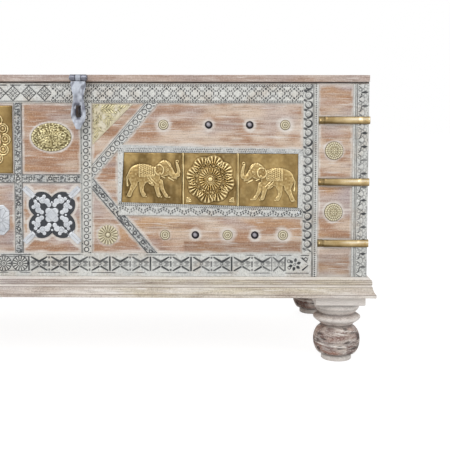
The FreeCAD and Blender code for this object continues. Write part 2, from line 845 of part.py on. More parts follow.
# Blocks in the four corners that hold the feet and the floor
corner_block = cut(
    "corner_block",
    box(
        "corner_block_blank", (inner_x - size.block_width, inner_x),
        (inner_front_y, inner_front_y + size.block_width), (base_level, floor_level),
    ),
    foot_front_right,
)
rear_corner_block = mirrored("rear_corner_block", corner_block, Y_AXIS, middle_y)
corner_blocks = group(
    "corner_blocks",
    corner_block, mirrored("corner_block_twin", corner_block),
    rear_corner_block, mirrored("rear_corner_block_twin", rear_corner_block),
)
batten_end_x = inner_x - size.block_width
front_batten = box(
    "front_batten", (-batten_end_x, batten_end_x),
    (inner_front_y, inner_front_y + size.batten_width), (base_level, floor_level),
)
floor_battens = group(
    "floor_battens", front_batten, mirrored("rear_batten", front_batten, Y_AXIS, middle_y)
)
floor_board = box(
    "floor_board", (-inner_x, inner_x), (inner_front_y, inner_rear_y),
    (floor_level, floor_level + size.floor_thickness),
)

# Plinth moulding, mitred at the four corners
moulding_arcs = {index: size.plinth_height * share for index, share in PLINTH_ARC_SHARES.items()}
corner_x = half_width + size.plinth_reach
corner_y = rear_y + size.plinth_reach
rear_run = padded(
    "plinth_rear_run", "YZ_Plane",
    [(rear_y + size.plinth_reach * out, base_level + size.plinth_height * up)
     for out, up in PLINTH_PROFILE_SHARES],
    corner_x * 2, x=-corner_x, bends=moulding_arcs,
)
rear_mitre = padded(
    "plinth_rear_mitre", "XY_Plane",
    [(-half_width, rear_y), (half_width, rear_y), (corner_x, corner_y), (-corner_x, corner_y)],
    size.plinth_height + size.overrun * 2, z=base_level - size.overrun,
)
side_run = padded(
    "plinth_side_run", "XZ_Plane",
    [(half_width + size.plinth_reach * out, base_level + size.plinth_height * up)
     for out, up in PLINTH_PROFILE_SHARES],
    (corner_y - middle_y) * 2, y=corner_y, bends=moulding_arcs,
)
side_mitre = padded(
    "plinth_side_mitre", "XY_Plane",
    [(half_width, front_y), (corner_x, front_y - size.plinth_reach), (corner_x, corner_y), (half_width, rear_y)],
    size.plinth_height + size.overrun * 2, z=base_level - size.overrun,
)
plinth_back = common("plinth_back", rear_run, rear_mitre)
plinth_front = mirrored("plinth_front", plinth_back, Y_AXIS, middle_y)
plinth_right = common("plinth_right", side_run, side_mitre)
plinth_left = mirrored("plinth_left", plinth_right)

# Butt hinges let into the back board's top edge and the lid's underside
leaf_half = size.hinge_length / 2
knuckle_length = size.hinge_length * KNUCKLE_SHARE
leaf_y = rear_y - size.hinge_leaf_depth
hinge_start_x = size.hinge_place - leaf_half
hinge_end_x = size.hinge_place + leaf_half
inner_knuckle = (hinge_start_x + knuckle_length + size.hinge_clearance,
                 hinge_end_x - knuckle_length - size.hinge_clearance)
outer_knuckles = ((hinge_start_x, hinge_start_x + knuckle_length), (hinge_end_x - knuckle_length, hinge_end_x))


def hinge_screws(name, level, downward):
    """Make the countersunk screws of one leaf, with their heads at a level."""
    screws = []
    for number, share in enumerate(SCREW_SHARES, start=1):
        x = size.hinge_place + size.hinge_length * share
        y = leaf_y + size.hinge_leaf_depth / 2
        head_level = level - size.screw_head_height if downward else level
        shank_level = level - size.screw_length if downward else level + size.screw_head_height
        radii = (size.screw_radius, size.screw_head_radius)
        low, high = radii if downward else radii[::-1]
        head = cone(f"{name}_head_{number}", low, high, size.screw_head_height, x, y, head_level)
        shank = cylinder(
            f"{name}_shank_{number}", size.screw_radius, size.screw_length - size.screw_head_height,
            x, y, shank_level,
        )
        screws.append(fuse(f"{name}_{number}", head, shank))
    return group(name, *screws)


def hinge_leaf(name, low, high, knuckles, screws):
    """Make one leaf with its knuckles, bored for the pin and for its screws."""
    plate = box(name + "_plate", (hinge_start_x, hinge_end_x), (leaf_y, rear_y), (low, high))
    pieces = [plate]
    for number, (start, end) in enumerate(knuckles, start=1):
        pieces.append(box(f"{name}_neck_{number}", (start, end), (rear_y, hinge_y), (low, high)))
        pieces.append(cylinder(
            f"{name}_knuckle_{number}", size.hinge_knuckle_radius, end - start,
            start, hinge_y, hinge_level, TO_RIGHT,
        ))
    bore = cylinder(
        name + "_bore", bore_radius, size.hinge_length + size.overrun * 2,
        hinge_start_x - size.overrun, hinge_y, hinge_level, TO_RIGHT,
    )
    return cut(name, fuse(name + "_blank", *pieces), bore, screws)


def headed_pin(name, start_x, end_x, y, level):
    """Make a pin with a round head outside each end of what it joins."""
    shank = cylinder(name + "_shank", size.pin_radius, end_x - start_x, start_x, y, level, TO_RIGHT)
    heads = [
        cylinder(f"{name}_head_{number}", size.pin_head_radius, size.pin_head_length, x, y, level, TO_RIGHT)
        for number, x in enumerate((start_x - size.pin_head_length, end_x), start=1)
    ]
    return fuse(name, shank, *heads)


chest_screws = hinge_screws("chest_leaf_screws", body_top, True)
lid_screws = hinge_screws("lid_leaf_screws", lid_level, False)
hinge_leaves_chest = pair(
    "hinge_leaves_chest",
    hinge_leaf("chest_leaf", body_top - size.hinge_leaf_thickness, body_top, outer_knuckles, chest_screws),
)
hinge_leaves_lid = pair(
    "hinge_leaves_lid",
    hinge_leaf("lid_leaf", lid_level, lid_level + size.hinge_leaf_thickness, (inner_knuckle,), lid_screws),
)
hinge_screws_chest = pair("hinge_screws_chest", chest_screws)
hinge_screws_lid = pair("hinge_screws_lid", lid_screws)
hinge_pins = pair(
    "hinge_pins",
    headed_pin("hinge_pin", hinge_start_x - size.pin_end_gap, hinge_end_x + size.pin_end_gap, hinge_y, hinge_level),
)


def hinge_mortise(name, low, high):
    """Make the recess that one leaf lies in."""
    return box(
        name,
        (hinge_start_x - size.mortise_clearance, hinge_end_x + size.mortise_clearance),
        (leaf_y - size.mortise_clearance, rear_y + size.overrun),
        (low, high),
    )


# Eyes of the hasps on the lid's front edge, each with two lugs, a plate and two driven spikes
lug_start_x = size.knuckle_width / 2 + size.knuckle_gap
lug_end_x = lug_start_x + size.lug_width
eye_pieces = [
    box(
        "eye_plate", (hasp_x - lug_end_x, hasp_x + lug_end_x),
        (lid_front_y - size.eye_plate_thickness, lid_front_y),
        (lid_level + size.eye_plate_margin, lid_top - size.eye_plate_margin),
    )
]
for number, start in enumerate((lug_start_x, -lug_end_x), start=1):
    lug_x = hasp_x + start
    eye_pieces += [
        cylinder(f"eye_lug_{number}", size.knuckle_radius, size.lug_width, lug_x, hasp_y, hasp_level, TO_RIGHT),
        box(
            f"eye_stem_{number}", (lug_x, lug_x + size.lug_width),
            (hasp_y, lid_front_y), (hasp_level - size.lug_stem, hasp_level),
        ),
        cylinder(
            f"eye_spike_{number}", size.spike_radius, size.spike_length,
            lug_x + size.lug_width / 2, lid_front_y, hasp_level, TO_REAR,
        ),
    ]
eye_bore = cylinder(
    "eye_bore", bore_radius, (lug_end_x + size.overrun) * 2,
    hasp_x - lug_end_x - size.overrun, hasp_y, hasp_level, TO_RIGHT,
)
hasp_eye_plates = pair("hasp_eye_plates", cut("hasp_eye", fuse("hasp_eye_blank", *eye_pieces), eye_bore))
hasp_pins = pair(
    "hasp_pins",
    headed_pin(
        "hasp_pin", hasp_x - lug_end_x - size.pin_end_gap, hasp_x + lug_end_x + size.pin_end_gap,
        hasp_y, hasp_level,
    ),
)

# Hasps: a waisted iron leaf with a slot, a knuckle and a tip bent outwards
shoulder = size.knuckle_radius + size.hasp_shoulder_gap
hasp_levels = (
    (size.knuckle_width, ZERO),
    (size.knuckle_width, shoulder),
    (size.hasp_top_width, shoulder),
    (size.hasp_top_width, size.hasp_length * HASP_TOP_SHARE),
    (size.hasp_neck_width, size.hasp_length * HASP_NECK_SHARE),
    (size.hasp_bulge_width, size.hasp_length * HASP_BULGE_SHARE),
    (size.hasp_tip_width, size.hasp_length),
)
hasp_outline = [(-(width / 2), -drop) for width, drop in hasp_levels]
hasp_outline += [(width / 2, -drop) for width, drop in reversed(hasp_levels)]
leaf_half_thickness = size.hasp_thickness / 2
bend_drop = size.hasp_length * HASP_BEND_SHARE
hasp_side = [
    (-leaf_half_thickness, ZERO),
    (-leaf_half_thickness, -bend_drop),
    (-leaf_half_thickness - size.hasp_tip_bend, -size.hasp_length),
    (leaf_half_thickness - size.hasp_tip_bend, -size.hasp_length),
    (leaf_half_thickness, -bend_drop),
    (leaf_half_thickness, ZERO),
]
leaf_depth = size.hasp_thickness + size.hasp_tip_bend + size.overrun * 2
leaf_face = padded(
    "hasp_face", "XZ_Plane", hasp_outline, leaf_depth,
    hasp_x, hasp_y + leaf_half_thickness + size.overrun, hasp_level,
)
leaf_side = padded(
    "hasp_side", "YZ_Plane", hasp_side, size.hasp_bulge_width + size.overrun * 2,
    hasp_x - size.hasp_bulge_width / 2 - size.overrun, hasp_y, hasp_level,
)
hasp_knuckle = cylinder(
    "hasp_knuckle", size.knuckle_radius, size.knuckle_width,
    hasp_x - size.knuckle_width / 2, hasp_y, hasp_level, TO_RIGHT,
)
slot_half_width = size.staple_wire_radius + size.slot_side_clearance
slot_half_height = size.staple_height / 2 + size.slot_end_clearance
hasp_slot = box(
    "hasp_slot", (hasp_x - slot_half_width, hasp_x + slot_half_width),
    (hasp_y - leaf_depth, hasp_y + leaf_depth),
    (staple_level - slot_half_height, staple_level + slot_half_height),
)
hasp_right = cut(
    "hasp_right", fuse("hasp_blank", common("hasp_leaf", leaf_face, leaf_side), hasp_knuckle),
    hasp_slot, eye_bore,
)
hasp_left = mirrored("hasp_left", hasp_right)

# Boards of the carcass and the lid, bored for all that is driven into them
board_levels = (base_level, body_top)
front_board = cut(
    "front_board",
    box("front_board_blank", (-half_width, half_width), (front_y, inner_front_y), board_levels),
    ring_studs, dome_nails, round_bosses, daisy_rosettes, strap_nails, small_nails, staples,
)
chest_mortise = hinge_mortise("chest_mortise", body_top - size.hinge_leaf_thickness, body_top + size.overrun)
back_board = cut(
    "back_board",
    box("back_board_blank", (-half_width, half_width), (inner_rear_y, rear_y), board_levels),
    chest_mortise, mirrored("chest_mortise_twin", chest_mortise), hinge_screws_chest,
)
side_board_right = cut(
    "side_board_right",
    box("side_board_blank", (inner_x, half_width), (inner_front_y, inner_rear_y), board_levels),
    strap_nails,
)
side_board_left = mirrored("side_board_left", side_board_right)
lid_mortise = hinge_mortise("lid_mortise", lid_level - size.overrun, lid_level + size.hinge_leaf_thickness)
lid_board = cut(
    "lid_board",
    box("lid_blank", (-half_width, half_width), (lid_front_y, rear_y), (lid_level, lid_top)),
    lid_mortise, mirrored("lid_mortise_twin", lid_mortise), hinge_screws_lid, hasp_eye_plates,
)
lid_cleats = pair(
    "lid_cleats",
    box(
        "lid_cleat",
        (size.cleat_place - size.cleat_width / 2, size.cleat_place + size.cleat_width / 2),
        (inner_front_y + size.cleat_clearance, inner_rear_y - size.cleat_clearance),
        (lid_level - size.cleat_height, lid_level),
    ),
)

SUB_PARTS = [
    front_board, back_board, side_board_left, side_board_right, floor_board, floor_battens, corner_blocks,
    plinth_front, plinth_back, plinth_left, plinth_right,
    foot_front_left, foot_front_right, foot_rear_left, foot_rear_right,
    top_rail, bottom_rail, inner_stile_left, inner_stile_right, field_stile_left, field_stile_right,
    end_stile_left, end_stile_right, corner_stile_left, corner_stile_right, cross_rails,
    upper_brace_left, upper_brace_right, lower_brace_left, lower_brace_right,
    tile_frame_left, tile_frame_right, brass_tiles_left, brass_tiles_right,
    centre_brass_panel, centre_silver_plate, oval_medallions, fret_plates, corner_gussets,
    daisy_rosettes, round_bosses, ring_studs, dome_nails, small_nails,
    brass_straps_left, brass_straps_right, strap_nails, staples,
    hinge_leaves_chest, hinge_pins, hinge_screws_chest,
    lid_board, lid_cleats, hinge_leaves_lid, hinge_screws_lid, hasp_eye_plates, hasp_pins,
    hasp_left, hasp_right,
]

doc.recompute()
faults = [item.Label for item in doc.Objects if {"Invalid", "Error"} & set(item.State)]
faults += [part.Label for part in SUB_PARTS if part.Shape.isNull() or not part.Shape.isValid()]
if faults:
    raise SystemExit("These objects failed: " + ", ".join(faults))

os.makedirs("parts", exist_ok=True)
for part in SUB_PARTS:
    part.Shape.exportStep(os.path.join("parts", part.Label + ".step"))
    print(f"{part.Label}: {len(part.Shape.Solids)} solids, {part.Shape.Volume:.0f} mm3")
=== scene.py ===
"""Arabic dowry chest: a low, wide wooden trunk on turned feet, with a carved and brass-mounted front.

Sizes in the classes are millimetres and the meshes are metres.  +Z is up, the front faces -Y, and the origin
is on the floor under the middle of the chest.  The right half is described, and the left half mirrors it.
"""
import logging
import math
from dataclasses import dataclass
from enum import Enum
from typing import Any, Callable, Sequence

import bpy
import numpy as np
from mathutils import Matrix, Vector

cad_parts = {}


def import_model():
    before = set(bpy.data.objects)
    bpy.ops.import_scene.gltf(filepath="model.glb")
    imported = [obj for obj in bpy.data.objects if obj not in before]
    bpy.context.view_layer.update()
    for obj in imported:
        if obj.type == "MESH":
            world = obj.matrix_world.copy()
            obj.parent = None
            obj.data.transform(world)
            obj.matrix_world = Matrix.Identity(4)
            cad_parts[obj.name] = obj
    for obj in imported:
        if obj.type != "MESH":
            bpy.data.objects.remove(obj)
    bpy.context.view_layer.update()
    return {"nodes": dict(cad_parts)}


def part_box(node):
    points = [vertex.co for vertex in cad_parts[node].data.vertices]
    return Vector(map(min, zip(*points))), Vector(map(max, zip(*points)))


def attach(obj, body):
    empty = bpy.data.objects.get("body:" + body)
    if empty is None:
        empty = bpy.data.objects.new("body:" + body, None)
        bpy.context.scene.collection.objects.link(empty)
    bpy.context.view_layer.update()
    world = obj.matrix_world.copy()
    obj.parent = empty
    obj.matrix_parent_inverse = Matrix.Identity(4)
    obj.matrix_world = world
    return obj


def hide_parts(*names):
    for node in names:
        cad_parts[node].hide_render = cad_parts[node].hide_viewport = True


LOG = logging.getLogger("dowry_chest")

# Metres to a millimetre, how near points merge, and how many random hills stand in a row before they repeat
MM = 0.001
WELD = 1e-6
LATTICE = 97

Array = np.ndarray
Layers = dict[str, Array]
Colour = tuple[int, int, int]
Point = tuple[float, float]
Place = Sequence[float]
Edge = Sequence[Point]
Patches = tuple[float, Point | float, int]
Design = Callable[[Array, Array], Layers]
Material = bpy.types.Material
Piece = bpy.types.Object
Socket = bpy.types.NodeSocket


class Body(Enum):
    """Parts that move as one."""

    CHEST = "chest"
    LID = "lid"
    HASP_LEFT = "hasp_left"
    HASP_RIGHT = "hasp_right"


class Slot(Enum):
    """Kinds of finish, by name."""

    AGED_WOOD = "aged_wood"
    PLINTH_WOOD = "plinth_wood"
    FOOT_WOOD = "foot_wood"
    CARVED_STRIP = "carved_strip"
    EMBOSSED_BRASS = "embossed_brass"
    BRASS_FITTING = "brass_fitting"
    SILVERED_METAL = "silvered_metal"
    IRON_FITTING = "iron_fitting"


class Grain(Enum):
    """How much faster the grain changes along X, Y and Z than along the wood."""

    ALONG_X = (1.0, 12.0, 12.0)
    ALONG_Y = (12.0, 1.0, 12.0)
    ROUND_Z = (2.4, 2.4, 12.0)


# Shader building

class Wave:
    """A number that changes over a surface, with arithmetic that adds the nodes for it."""

    def __init__(self, graph: "Graph", socket: Socket) -> None:
        """Hold one output socket of a graph."""
        self.graph = graph
        self.socket = socket

    def maths(self, operation: str, *values: Any) -> "Wave":
        """Add one Math node.

        Args:
            operation: what the node does.
            values: its numbers or waves, in order.

        Returns:
            The node's result.
        """
        node = self.graph.node("ShaderNodeMath", {"operation": operation}, dict(enumerate(values)))
        return Wave(self.graph, node.outputs[0])

    def __add__(self, other: Any) -> "Wave":
        """Add a number or another wave."""
        return self.maths("ADD", self, other)

    __radd__ = __add__

    def __sub__(self, other: Any) -> "Wave":
        """Take away a number or another wave."""
        return self.maths("SUBTRACT", self, other)

    def __rsub__(self, other: Any) -> "Wave":
        """Be taken away from a number."""
        return self.maths("SUBTRACT", other, self)

    def __mul__(self, other: Any) -> "Wave":
        """Multiply by a number or another wave."""
        return self.maths("MULTIPLY", self, other)

    __rmul__ = __mul__

    def between(self, low: float, high: float) -> "Wave":
        """Stretch the part from low to high over 0 to 1, and hold it there."""
        stops = {0: self, 1: low, 2: high, 3: 0.0, 4: 1.0}
        return Wave(self.graph, self.graph.node("ShaderNodeMapRange", {"clamp": True}, stops).outputs[0])


def linear(colour: Colour) -> tuple[float, ...]:
    """Turn a display colour of 0 to 255 into the linear one that shaders use, with its alpha."""
    shares = [value / 255.0 for value in colour]
    return (*(s / 12.92 if s <= 0.04045 else ((s + 0.055) / 1.055) ** 2.4 for s in shares), 1.0)


class Graph:
    """The node tree of one material or world."""

    def __init__(self, owner: Material | bpy.types.World) -> None:
        """Start an empty tree in a new material or world.

        Args:
            owner: the new material or world.
        """
        self.owner = owner
        owner.use_nodes = True
        self.tree = owner.node_tree
        self.tree.nodes.clear()

    def node(
        self, kind: str, settings: dict[str, Any] | None = None, inputs: dict[Any, Any] | None = None
    ) -> bpy.types.Node:
        """Add any node.

        Args:
            kind: Blender's name for the node type.
            settings: properties that are set first.
            inputs: numbers, colours, waves or sockets for its inputs, by name or place.

        Returns:
            The new node.
        """
        node = self.tree.nodes.new(kind)
        for name, value in (settings or {}).items():
            setattr(node, name, value)
        for key, value in (inputs or {}).items():
            value = value.socket if isinstance(value, Wave) else value
            if isinstance(value, Socket):
                self.tree.links.new(value, node.inputs[key])
            else:
                node.inputs[key].default_value = value
        return node

    def place(self) -> Socket:
        """Give the point's place in the object, in metres."""
        return self.node("ShaderNodeTexCoord").outputs["Object"]

    def stretched(self, scale: Place, shift: Place = (0.0, 0.0, 0.0)) -> Socket:
        """Give the point's place stretched by axis and then shifted."""
        inputs = {0: self.place(), 1: tuple(scale), 2: tuple(shift)}
        return self.node("ShaderNodeVectorMath", {"operation": "MULTIPLY_ADD"}, inputs).outputs[0]

    def noise(self, scale: Place, seed: float, detail: float = 2.0, rough: float = 0.5) -> Wave:
        """Give cloudy noise.

        Args:
            scale: waves to the metre along X, Y and Z.
            seed: shift that makes it unlike the others.
            detail: how many finer layers it has.
            rough: how strong those layers are.

        Returns:
            Noise from 0 to 1.
        """
        inputs = {"Vector": self.stretched(scale, (seed, seed * 1.7, seed * 2.3)), "Scale": 1.0,
                  "Detail": detail, "Roughness": rough}
        return Wave(self, self.node("ShaderNodeTexNoise", {}, inputs).outputs[0])

    def attribute(self, name: str) -> Wave:
        """Read a number that the mesh carries at its points."""
        node = self.node("ShaderNodeAttribute", {"attribute_name": name, "attribute_type": "GEOMETRY"})
        return Wave(self, node.outputs["Fac"])

    def mix(self, share: Any, first: Any, second: Any) -> Socket:
        """Blend two colours.

        Args:
            share: how much of the second shows, from 0 to 1.
            first: a colour or the socket of one.
            second: a colour or the socket of one.

        Returns:
            The socket of the blend.
        """
        first, second = (linear(c) if isinstance(c, tuple) else c for c in (first, second))
        settings = {"data_type": "RGBA", "clamp_factor": True}
        return self.node("ShaderNodeMix", settings, {0: share, 6: first, 7: second}).outputs[2]

    def bump(self, height: Wave, distance: float, strength: float = 1.0) -> Socket:
        """Turn a height of 0 to 1 into a tilted surface, with its full height in metres."""
        inputs = {"Height": height, "Distance": distance, "Strength": strength}
        return self.node("ShaderNodeBump", {}, inputs).outputs[0]

    def finish(self, **inputs: Any) -> Material:
        """Close the tree with a surface shader.

        Args:
            inputs: its sockets by name, with underscores for spaces.

        Returns:
            The material.
        """
        named = {name.replace("_", " "): value for name, value in inputs.items()}
        shader = self.node("ShaderNodeBsdfPrincipled", {}, named)
        self.node("ShaderNodeOutputMaterial", {}, {"Surface": shader.outputs[0]})
        return self.owner


# Finishes

@dataclass(frozen=True)
class WashedWood:
    """Brushed wood under a thin, worn white wash."""

    name: str
    grain: Grain = Grain.ALONG_X
    pale: Colour = (196, 174, 155)
    warm: Colour = (170, 133, 107)
    grey: Colour = (160, 144, 142)
    amber: Colour = (188, 150, 112)
    wash: Colour = (218, 211, 204)
    dark: Colour = (104, 80, 68)
    shade_and_soot: Colour = (34, 25, 23)
    contrast: float = 1.0
    wash_share: float = 0.36
    wash_from: float = 0.48
    scale: float = 1.0
    painted: bool = False
    # Levels of Z of painted shade along the grooves and of painted highlights along the ridges
    groove_shade_levels: tuple[float, ...] = ()
    ridge_highlight_levels: tuple[float, ...] = ()

    def layer(self, graph: Graph, speed: float, seed: float, power: float = 1.0, detail: float = 2.0) -> Wave:
        """Add one layer of grain.

        Args:
            graph: the material's tree.
            speed: waves to the metre along the wood.
            seed: shift that makes it unlike the others.
            power: 1 for long streaks, and less for rounder patches.
            detail: how many finer layers it has.

        Returns:
            The layer, from 0 to 1.
        """
        speeds = tuple(self.scale * speed * value ** power for value in self.grain.value)
        return graph.noise(speeds, seed, detail, 0.6)

    def build(self) -> Material:
        """Make the material.

        Returns:
            The material.
        """
        graph = Graph(bpy.data.materials.new(self.name))
        half = 0.13 / self.contrast
        clouds = self.layer(graph, 8.0, 3.1, 0.5).between(0.51 - half, 0.51 + half)
        tint = self.layer(graph, 6.0, 17.3, 0.5, 1.0).between(0.50, 0.66)
        honey = self.layer(graph, 5.0, 71.3, 0.5, 1.0).between(0.52, 0.64)
        patches = self.layer(graph, 13.0, 29.9, 0.6)
        streaks = self.layer(graph, 9.0, 7.7, 1.35, 5.0)
        strokes = self.layer(graph, 20.0, 41.3, 1.0, 5.0)
        threads = self.layer(graph, 40.0, 11.9, 1.15, 3.0)
        scratches = self.layer(graph, 26.0, 53.1, 1.2, 1.0)
        specks = graph.noise((480.0, 480.0, 480.0), 83.1)
        if self.painted:
            clouds = clouds + graph.attribute("warmth")
            tint = tint + graph.attribute("cool")
        body = graph.mix(clouds, self.pale, self.warm)
        body = graph.mix(honey * 0.65, body, self.amber)
        body = graph.mix(tint * 0.65, body, self.grey)
        for marks, top, foot, share in (
            (streaks, 0.50, 0.30, 0.36), (threads, 0.48, 0.26, 0.55), (specks, 0.46, 0.32, 0.34),
        ):
            body = graph.mix(marks.between(top, foot) * (share * self.contrast), body, self.dark)
        veil = patches.between(self.wash_from - 0.04, self.wash_from + 0.18) * strokes.between(0.42, 0.60)
        veil = veil * self.wash_share + threads.between(0.52, 0.76) * 0.30
        veil = veil + scratches.between(0.64, 0.71) * 0.55 + specks.between(0.54, 0.66) * 0.24
        if self.painted:
            veil = veil + graph.attribute("wash") * (0.55 + 0.7 * threads)
        body = graph.mix(veil, body, self.wash)
        level = Wave(graph, graph.node("ShaderNodeSeparateXYZ", {}, {0: graph.place()}).outputs[2])
        # Painted highlights along the moulding's ridges, in the wash's colour, and painted shade along its
        # grooves
        for places, colour, half, soft in (
            (self.ridge_highlight_levels, self.wash, 0.0012, 0.0009), (self.groove_shade_levels, self.dark, 0.0003, 0.0006),
        ):
            for place in places:
                away = level - place * MM
                away = away.maths("ABSOLUTE", away)
                body = graph.mix(away.between(half + soft, half) * (0.30 + 0.6 * strokes), body, colour)
        # The ink attribute darkens the wood: painted shadow under the lid and behind each hasp's slot,
        # painted shade in the feet's grooves, dark stains on the feet, and the board low in some fields.
        if self.painted:
            body = graph.mix(graph.attribute("ink"), body, self.shade_and_soot)
        height = streaks * 0.5 + strokes * 0.25 + threads * 0.25
        return graph.finish(
            Base_Color=body, Roughness=0.60 + 0.22 * clouds, Normal=graph.bump(height, 0.0012), Metallic=0.0
        )


@dataclass(frozen=True)
class CarvedPaint:
    """Carved wood under limewash, with dark colour rubbed into the cuts."""

    name: str
    ground: Colour = (212, 212, 207)
    shade: Colour = (142, 147, 154)
    ink: Colour = (54, 56, 58)
    bare: Colour = (190, 176, 160)
    chalk: Colour = (228, 228, 226)

    def build(self) -> Material:
        """Make the material.

        Returns:
            The material.
        """
        graph = Graph(bpy.data.materials.new(self.name))
        flecks = graph.noise((430.0, 430.0, 430.0), 5.3, 3.0, 0.65)
        crumbs = graph.noise((300.0, 300.0, 300.0), 15.3, 3.0, 0.65)
        patches = graph.noise((34.0, 34.0, 34.0), 9.1, 3.0, 0.55)
        body = graph.mix(graph.attribute("shade") * (0.6 + 0.8 * flecks), self.ground, self.shade)
        body = graph.mix(patches.between(0.50, 0.70) * 0.50, body, self.bare)
        body = graph.mix(flecks.between(0.50, 0.66) * 0.34, body, self.ink)
        body = graph.mix(crumbs.between(0.52, 0.66) * 0.55, body, self.chalk)
        body = graph.mix(graph.attribute("ink") * (0.75 + 0.6 * patches), body, self.ink)
        return graph.finish(
            Base_Color=body, Roughness=0.64 + 0.2 * flecks, Normal=graph.bump(flecks, 0.0005), Metallic=0.0
        )


@dataclass(frozen=True)
class SheetMetal:
    """Thin hand-worked metal, darker and duller where the cloth never reached, and with the painted shade and
    painted highlights that some pieces carry.
    """

    name: str
    bright: Colour
    dull: Colour
    deep: Colour
    wash: Colour = (214, 208, 192)
    worn: Colour = (238, 222, 174)
    smooth: float = 0.30
    rough: float = 0.46
    metallic: float = 1.0
    grain: float = 60.0
    dents: float = 0.0005

    def build(self) -> Material:
        """Make the material.

        Returns:
            The material.
        """
        graph = Graph(bpy.data.materials.new(self.name))
        patches = graph.noise((self.grain,) * 3, 2.9, 3.0, 0.6)
        specks = graph.noise((self.grain * 9.0,) * 3, 6.1, 2.0)
        body = graph.mix(patches.between(0.38, 0.66), self.bright, self.dull)
        body = graph.mix(specks.between(0.55, 0.75) * 0.25, body, self.deep)
        body = graph.mix(graph.attribute("ink"), body, self.deep)
        # Shine brings in the worn colour: polish on the crests of worked sheets, and a painted highlight on
        # the straps and the dome nails.
        body = graph.mix(graph.attribute("shine"), body, self.worn)
        wash = graph.attribute("wash") * (0.7 + 0.6 * specks) * (1.0 - 0.8 * graph.attribute("ink"))
        body = graph.mix(wash, body, self.wash)
        rough = self.smooth + (self.rough - self.smooth) * patches
        rough = rough + 0.18 * graph.attribute("ink") + 0.3 * wash
        return graph.finish(
            Base_Color=body, Roughness=rough, Metallic=(1.0 - wash) * self.metallic,
            Normal=graph.bump(patches * 0.7 + specks * 0.3, self.dents),
        )


class Finishes:
    """Every finish of the chest, made once."""

    def __init__(self) -> None:
        """Make the materials."""
        self.front = WashedWood(
            "washed_front", painted=True, pale=(206, 184, 164), warm=(172, 132, 103), grey=(180, 164, 162),
            amber=(200, 160, 116), wash_share=0.5,
        ).build()
        self.plank = WashedWood("washed_plank", contrast=0.7).build()
        self.lid = WashedWood("washed_lid", pale=(194, 173, 159), warm=(166, 140, 126), contrast=0.8).build()
        self.side_plank = WashedWood("washed_side_plank", grain=Grain.ALONG_Y, contrast=0.7).build()
        pale = {
            "pale": (212, 202, 191), "warm": (188, 173, 160), "wash": (232, 227, 221),
            "grey": (184, 172, 172), "dark": (108, 92, 84), "amber": (202, 191, 162),
            "wash_from": 0.42, "wash_share": 0.5, "contrast": 1.2,
            # Levels of painted shade in the plinth's grooves and of painted highlights on its ridges
            "groove_shade_levels": (134.4, 131.6, 128.6, 123.6, 112.6), "ridge_highlight_levels": (137.2, 126.0),
        }
        self.plinth = WashedWood("washed_plinth", **pale).build()
        self.side_plinth = WashedWood("washed_side_plinth", grain=Grain.ALONG_Y, **pale).build()
        self.foot = WashedWood(
            "washed_foot", grain=Grain.ROUND_Z, pale=(194, 176, 164), warm=(104, 70, 60),
            grey=(140, 122, 118), amber=(164, 104, 76), wash=(232, 226, 220), dark=(76, 54, 48),
            wash_from=0.46, wash_share=0.5, scale=2.2, contrast=1.4, painted=True,
        ).build()
        self.carved = CarvedPaint("carved_paint").build()
        self.brass = SheetMetal(
            "embossed_brass_sheet", (172, 146, 96), (142, 116, 72), (76, 58, 28),
            worn=(240, 220, 168), metallic=0.9, grain=44.0,
        ).build()
        self.polished_brass = SheetMetal(
            "polished_brass", (208, 184, 138), (180, 154, 108), (78, 62, 34), worn=(244, 234, 208),
            smooth=0.20, rough=0.34,
        ).build()
        self.old_gold = SheetMetal(
            "old_gold", (200, 186, 138), (172, 156, 104), (84, 72, 40), worn=(240, 232, 190),
            smooth=0.34, rough=0.5, metallic=0.85, grain=140.0,
        ).build()
        self.silver = SheetMetal(
            "silvered_sheet", (208, 211, 215), (180, 184, 190), (38, 41, 46), worn=(232, 234, 238),
            smooth=0.36, rough=0.52, metallic=0.5,
        ).build()
        self.iron = SheetMetal(
            "hammered_iron", (126, 128, 138), (96, 97, 106), (44, 45, 54), wash=(200, 206, 216),
            worn=(220, 224, 232), smooth=0.32, rough=0.55, metallic=0.85, dents=0.0009,
        ).build()
        self.dark_iron = SheetMetal(
            "dark_iron", (88, 84, 88), (62, 58, 62), (30, 28, 32), worn=(176, 172, 178),
            smooth=0.36, rough=0.6, metallic=0.8,
        ).build()


# Mesh tools

def lone(obj: Piece) -> None:
    """Select one object alone and make it active.

    Args:
        obj: the object.
    """
    bpy.ops.object.select_all(action="DESELECT")
    obj.select_set(True)
    bpy.context.view_layer.objects.active = obj


def named(name: str) -> Piece:
    """Name the active object and its mesh, and give it back.

    Args:
        name: its name.

    Returns:
        The object.
    """
    obj = bpy.context.object
    obj.name = name
    obj.data.name = name
    return obj


def primitive(name: str, maker: Callable[..., Any], **options: Any) -> Piece:
    """Make a mesh with one of Blender's primitive operators, at the origin.

    Args:
        name: its name.
        maker: the operator.
        options: its settings.

    Returns:
        The new object.
    """
    bpy.ops.object.select_all(action="DESELECT")
    maker(**options)
    return named(name)


def points_of(obj: Piece) -> Array:
    """Read a mesh's points, in millimetres, one row each.

    Args:
        obj: the object.

    Returns:
        The points.
    """
    flat = np.empty(len(obj.data.vertices) * 3)
    obj.data.vertices.foreach_get("co", flat)
    return flat.reshape(-1, 3) / MM


def move_points(obj: Piece, points: Array) -> None:
    """Write a mesh's points, given in millimetres."""
    obj.data.vertices.foreach_set("co", (points * MM).ravel())
    obj.data.update()


def carry(obj: Piece, name: str, values: Array) -> None:
    """Store one number at each point of a mesh for its finish to read."""
    layer = obj.data.attributes.get(name) or obj.data.attributes.new(name, "FLOAT", "POINT")
    layer.data.foreach_set("value", np.asarray(values, dtype=np.float32).ravel())


